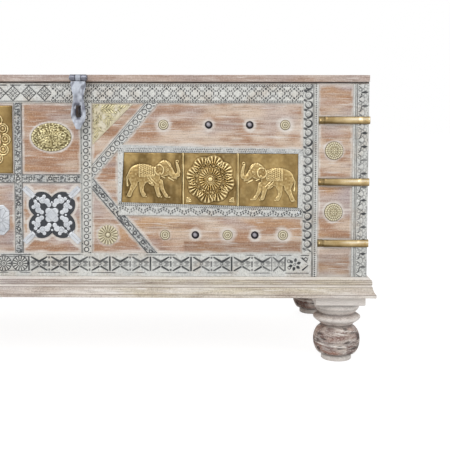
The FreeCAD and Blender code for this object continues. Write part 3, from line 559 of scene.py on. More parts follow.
def pick(obj: Piece, mode: str, chosen: Callable[[Array], Array]) -> None:
    """Select the faces or edges whose middle a test accepts.

    Args:
        obj: the object, in object mode.
        mode: FACE or EDGE.
        chosen: test on the middles, in millimetres, one row each.
    """
    mesh = obj.data
    for group in (mesh.polygons, mesh.edges, mesh.vertices):
        group.foreach_set("select", np.zeros(len(group), dtype=bool))
    if mode == "FACE":
        group = mesh.polygons
        middles = np.empty(len(group) * 3)
        group.foreach_get("center", middles)
        middles = middles.reshape(-1, 3) / MM
    else:
        group = mesh.edges
        ends = np.empty(len(group) * 2, dtype=np.int32)
        group.foreach_get("vertices", ends)
        middles = points_of(obj)[ends.reshape(-1, 2)].mean(axis=1)
    group.foreach_set("select", np.asarray(chosen(middles), dtype=bool))
    lone(obj)
    bpy.ops.object.mode_set(mode="EDIT")
    bpy.ops.mesh.select_mode(type=mode)
    bpy.ops.object.mode_set(mode="OBJECT")


def in_edit(obj: Piece, *steps: Callable[[], Any], everything: bool = True) -> None:
    """Run mesh operators on an object, on all of it or on what is selected.

    Args:
        obj: the object.
        steps: the operators, in order.
        everything: whether they work on the whole mesh.
    """
    lone(obj)
    bpy.ops.object.mode_set(mode="EDIT")
    if everything:
        bpy.ops.mesh.select_all(action="SELECT")
    for step in steps:
        step()
    bpy.ops.object.mode_set(mode="OBJECT")


def welded(obj: Piece) -> None:
    """Merge the points of a mesh that lie in one place."""
    in_edit(obj, lambda: bpy.ops.mesh.remove_doubles(threshold=WELD))


def modified(obj: Piece, kind: str, **settings: Any) -> Piece:
    """Add a modifier and apply it.

    Args:
        obj: the object.
        kind: Blender's name for the modifier's type.
        settings: its properties.

    Returns:
        The object.
    """
    lone(obj)
    modifier = obj.modifiers.new(kind.lower(), kind)
    for name, value in settings.items():
        setattr(modifier, name, value)
    bpy.ops.object.modifier_apply(modifier=modifier.name)
    return obj


def bevelled(obj: Piece, width: float, segments: int = 2, angle: float = 40.0) -> Piece:
    """Round the sharp edges and apply it."""
    options = {"width": width * MM, "segments": segments, "angle_limit": math.radians(angle)}
    return modified(obj, "BEVEL", limit_method="ANGLE", **options)


def thickened(obj: Piece, thickness: float) -> Piece:
    """Give a sheet a thickness behind its face, and apply it."""
    return modified(obj, "SOLIDIFY", thickness=thickness * MM, offset=-1.0)


def smooth(obj: Piece, angle: float = 42.0) -> Piece:
    """Shade smooth, with creases where faces meet at more than an angle in degrees.

    Args:
        obj: the object.
        angle: least angle of a crease, in degrees.

    Returns:
        The object.
    """
    lone(obj)
    bpy.ops.object.shade_smooth_by_angle(angle=math.radians(angle))
    return obj


def sliced(obj: Piece, axis: int, levels: Place) -> None:
    """Cut the faces of a mesh, and keep it whole, at levels of one axis.

    Args:
        obj: the object.
        axis: 0 to 2 for X to Z.
        levels: where, in millimetres.
    """
    across = tuple(1.0 if k == axis else 0.0 for k in range(3))
    for level in levels:
        place = tuple(level * MM * share for share in across)
        in_edit(obj, lambda: bpy.ops.mesh.bisect(plane_co=place, plane_no=across))


def block(name: str, low: Place, high: Place, cuts: Sequence[int] = (1, 1, 1)) -> Piece:
    """Make a box between two corners, cut into equal cells along each axis.

    Args:
        name: its name.
        low: lowest corner.
        high: highest corner.
        cuts: cells along X, Y and Z.

    Returns:
        The box.
    """
    low, high = np.array(low, float), np.array(high, float)
    obj = primitive(name, bpy.ops.mesh.primitive_cube_add, size=1.0)
    move_points(obj, (low + high) / 2 + points_of(obj) * MM * (high - low))
    for axis, count in enumerate(cuts):
        sliced(obj, axis, low[axis] + (high[axis] - low[axis]) * (np.arange(1, count) / count))
    return obj


def turned(name: str, profile: Edge, steps: int, centre: Place, axis: str = "Z") -> Piece:
    """Turn a profile about an axis.

    Args:
        name: its name.
        profile: radius and level of each point, from the bottom up, with both ends on the axis.
        steps: sides of the turning.
        centre: where the axis's zero level lies.
        axis: Z for an upright piece, or Y for one whose levels rise towards the front.

    Returns:
        The turned piece.
    """
    obj = primitive(name, bpy.ops.mesh.primitive_circle_add, vertices=len(profile), radius=1.0)
    rows = np.array([(radius, 0.0, level) for radius, level in profile])
    move_points(obj, rows)
    pick(obj, "EDGE", lambda m: np.abs(m[:, 0]) < WELD)
    in_edit(obj, lambda: bpy.ops.mesh.delete(type="EDGE"), everything=False)
    in_edit(
        obj,
        lambda: bpy.ops.mesh.spin(
            steps=steps, angle=math.tau, center=(0.0, 0.0, 0.0), axis=(0.0, 0.0, 1.0), use_auto_merge=True
        ),
    )
    welded(obj)
    in_edit(obj, lambda: bpy.ops.mesh.normals_make_consistent(inside=False))
    points = points_of(obj)
    if axis == "Y":
        points = points[:, (0, 2, 1)] * (1.0, -1.0, 1.0)
    move_points(obj, points + np.array(centre, float))
    return obj


def joined(name: str, parts: Sequence[Piece]) -> Piece:
    """Join objects into one of that name.

    Args:
        name: its name.
        parts: the objects.

    Returns:
        The joined object.
    """
    bpy.ops.object.select_all(action="DESELECT")
    for part in parts:
        part.select_set(True)
    bpy.context.view_layer.objects.active = parts[0]
    if len(parts) > 1:
        bpy.ops.object.join()
    return named(name)


def copied(obj: Piece, name: str, shift: Place = (0.0, 0.0, 0.0)) -> Piece:
    """Copy an object with a mesh of its own, moved by some millimetres.

    Args:
        obj: the object.
        name: its name.
        shift: how far it moves.

    Returns:
        The copy.
    """
    twin = obj.copy()
    twin.data = obj.data.copy()
    twin.name = twin.data.name = name
    bpy.context.scene.collection.objects.link(twin)
    move_points(twin, points_of(twin) + np.array(shift, float))
    return twin


def mirrored(obj: Piece, name: str) -> Piece:
    """Copy an object to the other side of the chest's middle.

    Args:
        obj: the object.
        name: its name.

    Returns:
        The mirrored copy.
    """
    twin = copied(obj, name)
    move_points(twin, points_of(twin) * (-1.0, 1.0, 1.0))
    in_edit(twin, lambda: bpy.ops.mesh.flip_normals())
    return twin


def dress(obj: Piece, body: Body, slot: Slot, material: Material, *nodes: str) -> None:
    """Give a finished piece its material and the body that it moves with, and hide the solids that it stands
    for.

    Args:
        obj: the piece.
        body: what it moves with.
        slot: the kind of finish, which is not used.
        material: the material that it shows.
        nodes: the solids that it stands for.
    """
    obj.data.materials.clear()
    obj.data.materials.append(material)
    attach(obj, body.value)
    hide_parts(*nodes)
    LOG.info("%s: %d faces, rides on %s", obj.name, len(obj.data.polygons), body.value)


def held(values: Array) -> Array:
    """Hold values between 0 and 1."""
    return np.clip(values, 0.0, 1.0)


def cloud(x: Array, z: Array, size: Point | float, seed: int) -> Array:
    """Give smooth random hills of about that size, from 0 to 1.

    Args:
        x: places along the first axis.
        z: places along the second axis.
        size: width and height of a hill, or one number for both.
        seed: which random set.

    Returns:
        The hills' height at each place.
    """
    lattice = np.random.default_rng(seed).random((LATTICE, LATTICE))
    wide, tall = size if isinstance(size, tuple) else (size, size)
    u, v = x / wide, z / tall
    i, j = np.floor(u).astype(int), np.floor(v).astype(int)
    a, b = u - i, v - j
    a, b = a * a * (3 - 2 * a), b * b * (3 - 2 * b)
    low, high = (
        lattice[i % LATTICE, level % LATTICE] * (1 - a) + lattice[(i + 1) % LATTICE, level % LATTICE] * a
        for level in (j, j + 1)
    )
    return low * (1 - b) + high * b


def drift(x: Array, z: Array, size: Point | float, seed: int) -> Array:
    """Give the same hills about zero, from -0.5 to 0.5."""
    return cloud(x, z, size, seed) - 0.5


# The marks of a carver's and a metal-worker's tools
# The soft width of a cut, how deep and how wide a sheet's rim is rounded, and the cells over which wear looks

EDGE = 0.5
RIM = 0.7
RIM_REACH = 1.4
WEAR_REACH = 7


def slanted(u: Array, v: Array, start: Point, ahead: Point) -> tuple[Array, Array]:
    """Places along and across a line that runs from a start in a direction."""
    a, b = u - start[0], v - start[1]
    return a * ahead[0] + b * ahead[1], b * ahead[0] - a * ahead[1]


def polar(u: Array, v: Array) -> tuple[Array, Array]:
    """Distance from the origin and angle about it."""
    return np.hypot(u, v), np.arctan2(v, u)


def line(distance: Array, width: Any) -> Array:
    """Share of a groove of that width, at each distance from its middle."""
    return held((0.5 * width - np.abs(distance)) / EDGE + 0.5)


def spot(u: Array, v: Array, radius: float) -> Array:
    """Share of a round mark at the origin."""
    return held((radius - np.hypot(u, v)) / EDGE + 0.5)


def hoop(u: Array, v: Array, radius: float, width: float) -> Array:
    """Share of a ring about the origin."""
    return line(np.hypot(u, v) - radius, width)


def eye(u: Array, v: Array, half: Point, width: float) -> Array:
    """Share of an oval ring about the origin."""
    return line((np.hypot(u / half[0], v / half[1]) - 1.0) * min(half), width)


def row(v: Array, first: float, pitch: float) -> Array:
    """Place within the nearest of marks that repeat at a pitch."""
    return (v - first + 0.5 * pitch) % pitch - 0.5 * pitch


def petalled(turn: Array, count: int, first: float = 0.0) -> Array:
    """Height of petals about the origin, from 0 between them to 1 along each."""
    return np.cos(row(turn, first, math.tau / count) * count / 2) ** 2


def rays(far: Array, turn: Array, count: int, reach: Point, width: Any = 0.8) -> Array:
    """Share of rays about the origin, between two distances from it."""
    return line(far * np.sin(row(turn, 0.0, math.tau / count)), width) * (far > reach[0]) * (far < reach[1])


def nearest(v: Array, places: Place) -> Array:
    """Place within the nearest of marks at given places."""
    spots = np.array(places)
    return v - spots[np.abs(v[:, None] - spots[None, :]).argmin(axis=1)]


def gap(u: Array, v: Array, start: Point, end: Point, radii: Point = (0.0, 0.0)) -> Array:
    """Distance to a round-ended bar that tapers from one radius to another, below 0 inside it.

    Args:
        u: places to the right.
        v: places up.
        start: middle of one end.
        end: middle of the other end.
        radii: radius at each end.

    Returns:
        The distance.
    """
    du, dv = end[0] - start[0], end[1] - start[1]
    share = held(((u - start[0]) * du + (v - start[1]) * dv) / (du * du + dv * dv))
    away = np.hypot(u - start[0] - share * du, v - start[1] - share * dv)
    return away - (radii[0] + (radii[1] - radii[0]) * share)


def gouge(u: Array, v: Array, start: Point, end: Point, widths: Point) -> Array:
    """Share of a straight cut that tapers from one width to another."""
    return held(-gap(u, v, start, end, (widths[0] / 2, widths[1] / 2)) / EDGE + 0.5)


def chain(u: Array, v: Array, stops: Sequence[tuple[float, float, float]]) -> Array:
    """Distance to a limb that runs through stops, each a place and a radius.

    Args:
        u: places to the right.
        v: places up.
        stops: place and radius of each stop, in order.

    Returns:
        The distance.
    """
    bars = [
        gap(u, v, first[:2], second[:2], (first[2], second[2])) for first, second in zip(stops, stops[1:])
    ]
    return np.minimum.reduce(bars)


def leaf(u: Array, v: Array, centre: Point, half: Point, angle: float) -> Array:
    """Share of a pointed leaf, with its half length and half width, turned by degrees.

    Args:
        u: places to the right.
        v: places up.
        centre: its middle.
        half: half its length and half its width.
        angle: how far it is turned.

    Returns:
        The share, from 0 to 1.
    """
    turn = math.radians(angle)
    a, b = slanted(u, v, centre, (math.cos(turn), math.sin(turn)))
    room = half[1] * (1.0 - held(np.abs(a) / half[0]) ** 2)
    return held((room - np.abs(b)) / EDGE + 0.5) * (np.abs(a) < half[0])


def dome(distance: Array, reach: float) -> Array:
    """Height of a rounded form from 0 to 1, at a distance that is below 0 inside its outline."""
    share = held(-distance / reach)
    return np.sqrt(share * (2.0 - share))


def fan(u: Array, v: Array, root: Point, angle: float, length: float, ribs: int, spread: float) -> Array:
    """Height of a palmette of rounded ribs that spread from a root.

    Args:
        u: places to the right.
        v: places up.
        root: where the ribs meet.
        angle: which way it points, in degrees from the right.
        length: how long its ribs are.
        ribs: how many there are.
        spread: whole angle between the outer ribs, in degrees.

    Returns:
        Height from 0 to 1.
    """
    du, dv = u - root[0], v - root[1]
    far = np.hypot(du, dv)
    turn = np.degrees(np.arctan2(dv, du)) - angle
    turn = (turn + 180.0) % 360.0 - 180.0
    step = spread / (ribs - 1)
    share = row(turn, 0.0 if ribs % 2 else step / 2, step) / step
    inside = held((spread / 2 + step / 2 - np.abs(turn)) / (step * 0.3))
    tip = length * (1.0 - 0.12 * (turn / (spread / 2 + step)) ** 2)
    body = held(far / (0.25 * length)) * held((tip - far) / (0.16 * length))
    return inside * np.sqrt(body) * (0.30 + 0.70 * np.cos(np.pi * share) ** 2)


def beads(radius: Array, turn: Array, ring: float, count: int, size: float) -> Array:
    """Height of a ring of beads, from 0 to 1."""
    along = row(turn, 0.0, math.tau / count) * ring
    return dome(np.hypot(along, radius - ring) - size, size)


def cees(along: Array, across: Array, pitch: float) -> Array:
    """Share of a row of small open rings."""
    u = row(along, 0.0, pitch)
    return hoop(u, across, 1.3, 1.0) * (1.0 - spot(u - 1.4, across, 0.9))


def stamped(x: Array, z: Array, seed: int) -> Array:
    """Share of dark in a ground that is punched all over.

    Args:
        x: places across.
        z: heights.
        seed: which random set.

    Returns:
        The share, from 0 to 1.
    """
    u = row(x + 2.6 * cloud(x, z, 6.0, seed), 0.0, 3.3)
    v = row(z + 2.6 * cloud(x, z, 6.0, seed + 1), 0.0, 3.3)
    flecks = held(drift(x, z, 1.9, seed + 2) * 6.0)
    return held(0.60 * spot(u, v, 0.9) + 0.75 * flecks)


def broken(along: Array, seed: int, size: float = 9.0) -> Array:
    """Share of a line that the wash still shows along its run."""
    return held((cloud(along, along * 0.0, (size, size), seed) - 0.32) * 5.0)


def most(*marks: Array) -> Array:
    """Keep the strongest of several marks."""
    return np.maximum.reduce(marks)


# Sheets that are worked from the front

def grid(name: str, across: int, up: int) -> tuple[Piece, Array, Array]:
    """Make a flat grid.

    Args:
        name: its name.
        across: cells from left to right.
        up: cells from low to high.

    Returns:
        The grid, and each point's share of its width and of its height.
    """
    counts = {"x_subdivisions": max(across, 2), "y_subdivisions": max(up, 2)}
    obj = primitive(name, bpy.ops.mesh.primitive_grid_add, size=1.0, **counts)
    raw = points_of(obj) * MM
    return obj, raw[:, 0] + 0.5, raw[:, 1] + 0.5


def run_lengths(path: Array) -> Array:
    """Lengths of the straight runs of a path of points."""
    return np.linalg.norm(np.diff(path, axis=0), axis=1)


def along_path(path: Array, share: Array) -> Array:
    """Find places along a path of straight runs.

    Args:
        path: its points, one row each.
        share: shares of its length.

    Returns:
        The places, one row each.
    """
    steps = run_lengths(path)
    marks = np.concatenate(([0.0], np.cumsum(steps))) / max(steps.sum(), WELD)
    return np.stack([np.interp(share, marks, path[:, k]) for k in (0, 1)], axis=1)


def back_off(obj: Piece, plane: float) -> Piece:
    """Give a front sheet its edges and close it with a back at that level of Y.

    Args:
        obj: the object.
        plane: level of Y of the back.

    Returns:
        The closed sheet.
    """
    in_edit(
        obj,
        lambda: bpy.ops.mesh.select_mode(type="EDGE"),
        lambda: bpy.ops.mesh.region_to_loop(),
        lambda: bpy.ops.mesh.extrude_region_move(TRANSFORM_OT_translate={"value": (0.0, 0.0, 0.0)}),
    )
    points = points_of(obj)
    chosen = np.zeros(len(points), dtype=bool)
    obj.data.vertices.foreach_get("select", chosen)
    points[chosen, 1] = plane
    move_points(obj, points)
    in_edit(obj, lambda: bpy.ops.mesh.edge_face_add(), everything=False)
    in_edit(obj, lambda: bpy.ops.mesh.normals_make_consistent(inside=False))
    return obj


def wear(made: Layers, shape: tuple[int, int], depth: float) -> None:
    """Brighten the crests of a relief and darken its hollows.

    Args:
        made: the fields of a sheet, which gain shine and ink.
        shape: points up and across.
        depth: height over its surroundings at which a crest is fully bright.
    """
    field = made["rise"].reshape(shape)
    weights = np.hanning(WEAR_REACH + 2)[1:-1]
    weights = weights / weights.sum()
    level = field
    for axis in (0, 1):
        padding = [(WEAR_REACH // 2,) * 2 if k == axis else (0, 0) for k in (0, 1)]
        padded = np.pad(level, padding, mode="edge")
        length = field.shape[axis]
        level = sum(weight * np.take(padded, range(k, k + length), axis) for k, weight in enumerate(weights))
    above = ((field - level) / depth).ravel()
    made["shine"] = np.clip(above, 0.0, 0.9)
    made["ink"] = np.clip(made.get("ink", 0.0) + np.clip(-above, 0.0, 0.66), 0.0, 0.95)


def raised(obj: Piece, flat: Array, made: Layers, face: float, back: float, merged: bool) -> Piece:
    """Give a flat sheet its relief, the layers that its finish reads, and its back.

    Args:
        obj: the sheet.
        flat: X and Z of its points.
        made: how far its face rises and what its finish reads.
        face: level of Y of its untouched face.
        back: level of Y of its back.
        merged: whether points of the sheet lie in one place.

    Returns:
        The closed sheet.
    """
    move_points(obj, np.stack([flat[:, 0], face - made.pop("rise"), flat[:, 1]], axis=1))
    for layer, values in made.items():
        carry(obj, layer, values)
    if merged:
        welded(obj)
    return smooth(back_off(obj, back), 60.0)


def worked_sheet(
    name: str, left: Edge, right: Edge, design: Design, face: float, back: float, cell: float,
    worn: float = 0.0,
) -> Piece:
    """Make a sheet between two edges, shaped by a design.

    Args:
        name: its name.
        left: points of its left edge, from low to high.
        right: points of its right edge, from low to high.
        design: gives, for places X and Z, how far the face rises and what its finish reads.
        face: level of Y of its untouched face.
        back: level of Y of its back.
        cell: size of one cell of its mesh.
        worn: height at which the crests of metal are fully bright, or 0 for wood.

    Returns:
        The closed sheet.
    """
    edges = [np.array(edge, float) for edge in (left, right)]
    widths = [np.linalg.norm(edges[1][end] - edges[0][end]) for end in (0, -1)]
    heights = [run_lengths(edge).sum() for edge in edges]
    obj, s, t = grid(name, math.ceil(max(widths) / cell), math.ceil(max(heights) / cell))
    places = [along_path(edge, t) for edge in edges]
    flat = places[0] * (1.0 - s[:, None]) + places[1] * s[:, None]
    made = design(flat[:, 0], flat[:, 1])
    if worn:
        wear(made, (len(np.unique(t)), len(np.unique(s))), worn)
    tall = heights[0] * (1.0 - s) + heights[1] * s
    wide = widths[0] * (1.0 - t) + widths[1] * t
    inwards = np.minimum(np.minimum(s, 1.0 - s) * wide, np.minimum(t, 1.0 - t) * tall)
    made["rise"] = made["rise"] - RIM * held(1.0 - inwards / RIM_REACH) ** 2
    return raised(obj, flat, made, face, back, min(widths) < cell)


def round_sheet(
    name: str, reach: Callable[[Array], Array], design: Callable[[Array, Array, Array], Layers],
    centre: Point, levels: Point, cells: tuple[int, int],
) -> Piece:
    """Make a sheet about a centre, shaped by a design.

    Args:
        name: its name.
        reach: gives how far its outline lies from the centre at each angle.
        design: gives, for places U and V from the centre and the share of the reach, the rise and the layers.
        centre: its X and Z.
        levels: Y of its untouched face and of its back.
        cells: cells round it and out from its centre.

    Returns:
        The closed sheet.
    """
    obj, s, t = grid(name, cells[0], cells[1])
    turn = -math.tau * s
    far = reach(turn) * t
    u, v = far * np.cos(turn), far * np.sin(turn)
    made = design(u, v, t)
    wear(made, (cells[1] + 1, cells[0] + 1), 0.5)
    middle = t < WELD
    made["rise"] = np.where(middle, np.median(made["rise"][middle]), made["rise"])
    return raised(obj, np.stack([u, v], axis=1) + centre, made, *levels, True)


def worn_copy(node: str, name: str, width: float, cuts: dict[int, float] | None = None) -> Piece:
    """Copy a solid and wear its edges round.

    Args:
        node: the solid's name.
        name: the new piece's name.
        width: how far the wear reaches.
        cuts: spacing of cuts across each axis, for wear that comes and goes.

    Returns:
        The worn piece.
    """
    low, high = (np.array(corner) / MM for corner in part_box(node))
    obj = copied(bpy.data.objects[node], name)
    obj.parent = None
    for key in list(obj.keys()):
        del obj[key]
    in_edit(
        obj,
        lambda: bpy.ops.mesh.remove_doubles(threshold=WELD),
        lambda: bpy.ops.mesh.dissolve_limited(angle_limit=math.radians(1.0)),
    )
    bevelled(obj, width, 3, 50.0)
    for axis, spacing in (cuts or {}).items():
        sliced(obj, axis, np.arange(low[axis] + spacing / 2, high[axis], spacing))
    return smooth(obj, 35.0)


# Sub-assemblies
# Levels of Y that they share, and the heights of the frame's and the fields' lower and upper edges

BOARD_FACE = -196.4
SHEET_BACK = -196.1
STRIP_FACE = -199.4
SHEET_FACE = -197.6
FRAME_FOOT = 139.0
FIELD_FOOT = 175.4
FIELD_TOP = 407.5
FRAME_TOP = 436.8

# Places and sizes of what the paint of the board runs round, a lobe by its offset and its radius
STRAP_LEVELS = (381.5, 286.7, 191.9)
STRAP_HALF = 5.7
OVAL_PLACE = (112.5, 354.8)
FRET_PLACE = (112.5, 234.5)
FRET_LOBE = (16.2, 19.8)


@dataclass
class SubAssembly:
    """Pieces that are made together, and the finishes that they are dressed in."""

    finishes: Finishes

    def build(self) -> None:
        """Make the pieces and dress them."""
        raise NotImplementedError


@dataclass
class FrontBoard(SubAssembly):
    """The front board, with white paint that runs along the strips and round the ornaments."""

    half_width: float = 600.0
    low: float = 108.0
    high: float = 439.7
    back: float = -178.4
    fine: float = 2.0
    coarse: float = 4.5
    gap: float = 0.6
    border: float = 3.4
    # Lines that the paint runs along
    rims: tuple[tuple[Point, Point], ...] = (
        ((0.0, 407.5), (500.0, 407.5)), ((0.0, 175.4), (500.0, 175.4)), ((55.0, 175.4), (55.0, 407.5)),
        ((67.5, 175.4), (67.5, 407.5)), ((157.5, 175.4), (157.5, 407.5)), ((174.5, 175.4), (174.5, 407.5)),
        ((500.0, 175.4), (500.0, 407.5)), ((523.0, 139.0), (523.0, 436.8)), ((576.0, 139.0), (576.0, 436.8)),
        ((0.0, 284.2), (157.5, 284.2)), ((0.0, 297.8), (157.5, 297.8)), ((0.0, 436.8), (600.0, 436.8)),
        ((523.0, 139.0), (576.0, 139.0)), ((174.5, 289.0), (277.0, 407.5)), ((174.5, 312.1), (257.0, 407.5)),
        ((174.5, 274.4), (259.0, 175.4)), ((177.3, 292.2), (277.0, 175.4)), ((215.0, 234.5), (215.0, 343.5)),
        ((215.0, 343.5), (500.0, 337.0)), ((215.0, 234.5), (500.0, 232.5)),
    )
    # X, Z, radius, softness and strength of the paint round each ornament
    halos: tuple[tuple[float, float, float, float, float], ...] = (
        (285.2, 374.1, 12.0, 4.0, 0.9), (472.3, 374.1, 12.5, 4.0, 0.9), (354.9, 374.1, 9.0, 2.5, 0.8),
        (417.9, 374.1, 9.0, 2.5, 0.8), (287.6, 203.9, 9.0, 2.5, 0.7), (334.6, 203.9, 9.5, 2.5, 0.9),
        (384.5, 203.9, 12.5, 4.0, 0.9), (426.6, 203.9, 9.5, 2.5, 0.9), (470.1, 203.9, 12.0, 3.5, 0.9),
        (547.7, 334.9, 16.0, 1.5, 0.9), (547.7, 239.9, 16.0, 1.5, 0.9), (199.0, 203.7, 17.6, 2.5, 0.9),
    )
    oval_halves: Point = (33.6, 24.6)

    def wash(self, x: Array, z: Array) -> Array:
        """Give the share of white paint at each place of the face.

        Args:
            x: places across.
            z: heights.

        Returns:
            The share of paint.
        """
        side = np.abs(x)
        wander = cloud(x, z, (16.0, 9.0), 21) * 3.0 - 1.6 + cloud(x, z, (4.0, 3.0), 22)
        rim = np.minimum.reduce([gap(side, z, *ends) for ends in self.rims])
        paint_share = 0.80 * held((self.border + wander - rim) / 2.0)
        for place_x, place_z, radius, soft, share in self.halos:
            away = np.hypot(side - place_x, z - place_z)
            paint_share = most(paint_share, 0.9 * share * held((radius + wander - away) / (1.7 * soft) + 0.5))
        half_u, half_v = self.oval_halves
        away = np.hypot((side - OVAL_PLACE[0]) / half_u, (z - OVAL_PLACE[1]) / half_v) * half_v - half_v
        paint_share = most(paint_share, held((0.4 * wander - away) / 1.4 + 0.5))
        u, v = np.abs(side - FRET_PLACE[0]), np.abs(z - FRET_PLACE[1])
        offset, radius = FRET_LOBE
        arm = gap(u, v, (0.0, 0.0), (43.0, 43.0), (4.5, 4.5))
        plate = np.minimum(np.hypot(u - offset, v - offset) - radius, arm)
        paint_share = most(paint_share, 0.95 * held((4.6 + wander - plate) / 1.6))
        lines = np.minimum.reduce([np.abs(z - level) - STRAP_HALF for level in STRAP_LEVELS])
        band = held((2.6 + 0.5 * wander - lines) / 1.2) * (side > 523.0)
        return held(most(paint_share, 0.7 * band))

    def warmth(self, x: Array, z: Array) -> Array:
        """Give how far the wood's brown comes through, deeper low in each panel.

        Args:
            x: places across.
            z: heights.

        Returns:
            The share of brown.
        """
        side = np.abs(x)
        low = np.where(z < 288.0, FIELD_FOOT, 292.0)
        share = held((z - low) / 115.0)
        depth = 0.75 - 0.85 * share + np.where(z < 288.0, -0.12, 0.0) + 0.70 * (z < 192.5) * (side > 318.0)
        depth = depth + np.where(side < 160.0, 0.45, -0.10 * (z > 292.0))
        levels = (139.0, 172.0, 186.0, 240.0, 300.0, 350.0, 437.0)
        depths = (0.9, 0.8, 0.0, 0.55, 0.2, 0.3, 0.8)
        depth = np.where(side > 523.0, np.interp(z, levels, depths), depth)
        return depth + 1.6 * drift(x, z, (50.0, 18.0), 33) + 1.2 * drift(x, z, (18.0, 8.0), 34)

    def cool(self, x: Array, z: Array) -> Array:
        """Give how grey the wood is: most at the top of each panel, and never low in it.

        Args:
            x: places across.
            z: heights.

        Returns:
            The share of grey.
        """
        side = np.abs(x)
        low, reach = np.where(z < 288.0, 225.0, 350.0), np.where(z < 288.0, 60.0, 50.0)
        top = held((z - low) / reach) * np.where(side < 160.0, 0.9, 0.45)
        under_plate = 0.7 * (side < 56.0) * (z < 288.0)
        return top + under_plate - 0.30 + 1.9 * drift(x, z, (30.0, 12.0), 35)

    def build(self) -> None:
        """Make the board."""
        breaks = (self.low, FIELD_FOOT - 3.0, FIELD_TOP + 3.0, 435.0, self.high)
        rows = [
            np.linspace(start, end, max(2, round((end - start) / step)), endpoint=False)
            for start, end, step in zip(breaks, breaks[1:], (self.coarse, self.fine, self.coarse, self.gap))
        ]
        levels = np.concatenate((*rows, [self.high]))
        across = round(2 * self.half_width / self.fine)
        obj, s, t = grid("front_planks", across, len(levels) - 1)
        x = (s - 0.5) * 2 * self.half_width
        z = levels[np.rint(t * (len(levels) - 1)).astype(int)]
        side = np.abs(x)
        hollow = 0.3 * cloud(x, z, (90.0, 5.0), 41) * (side < 596.0)
        move_points(obj, np.stack([x, BOARD_FACE + hollow, z], axis=1))
        carry(obj, "wash", self.wash(x, z))
        carry(obj, "warmth", self.warmth(x, z))
        carry(obj, "cool", self.cool(x, z))
        # Painted shadow: a dark patch on the board where each hasp's slot hangs
        hasp_shadow = held(1.0 - gap(side, z, (155.0, 384.0), (155.0, 404.0), (5.6, 5.6)) / 2.5)
        # Painted shadow: a dark band along the board's face just under the lid's front edge
        lid_shadow = held((z - 437.6) / 0.6) * (z < self.high - 0.1)
        long_field = (side > 318.0) & (side < 523.0) & (z < 192.5)
        dim = 0.18 * long_field + 0.21 * ((side > 523.0) & (z < 174.0)) + 0.06 * ((side < 56.0) & (z < 203.0))
        carry(obj, "ink", most(lid_shadow, 0.88 * hasp_shadow, dim))
        smooth(back_off(obj, self.back), 50.0)
        dress(obj, Body.CHEST, Slot.AGED_WOOD, self.finishes.front, "front_board")


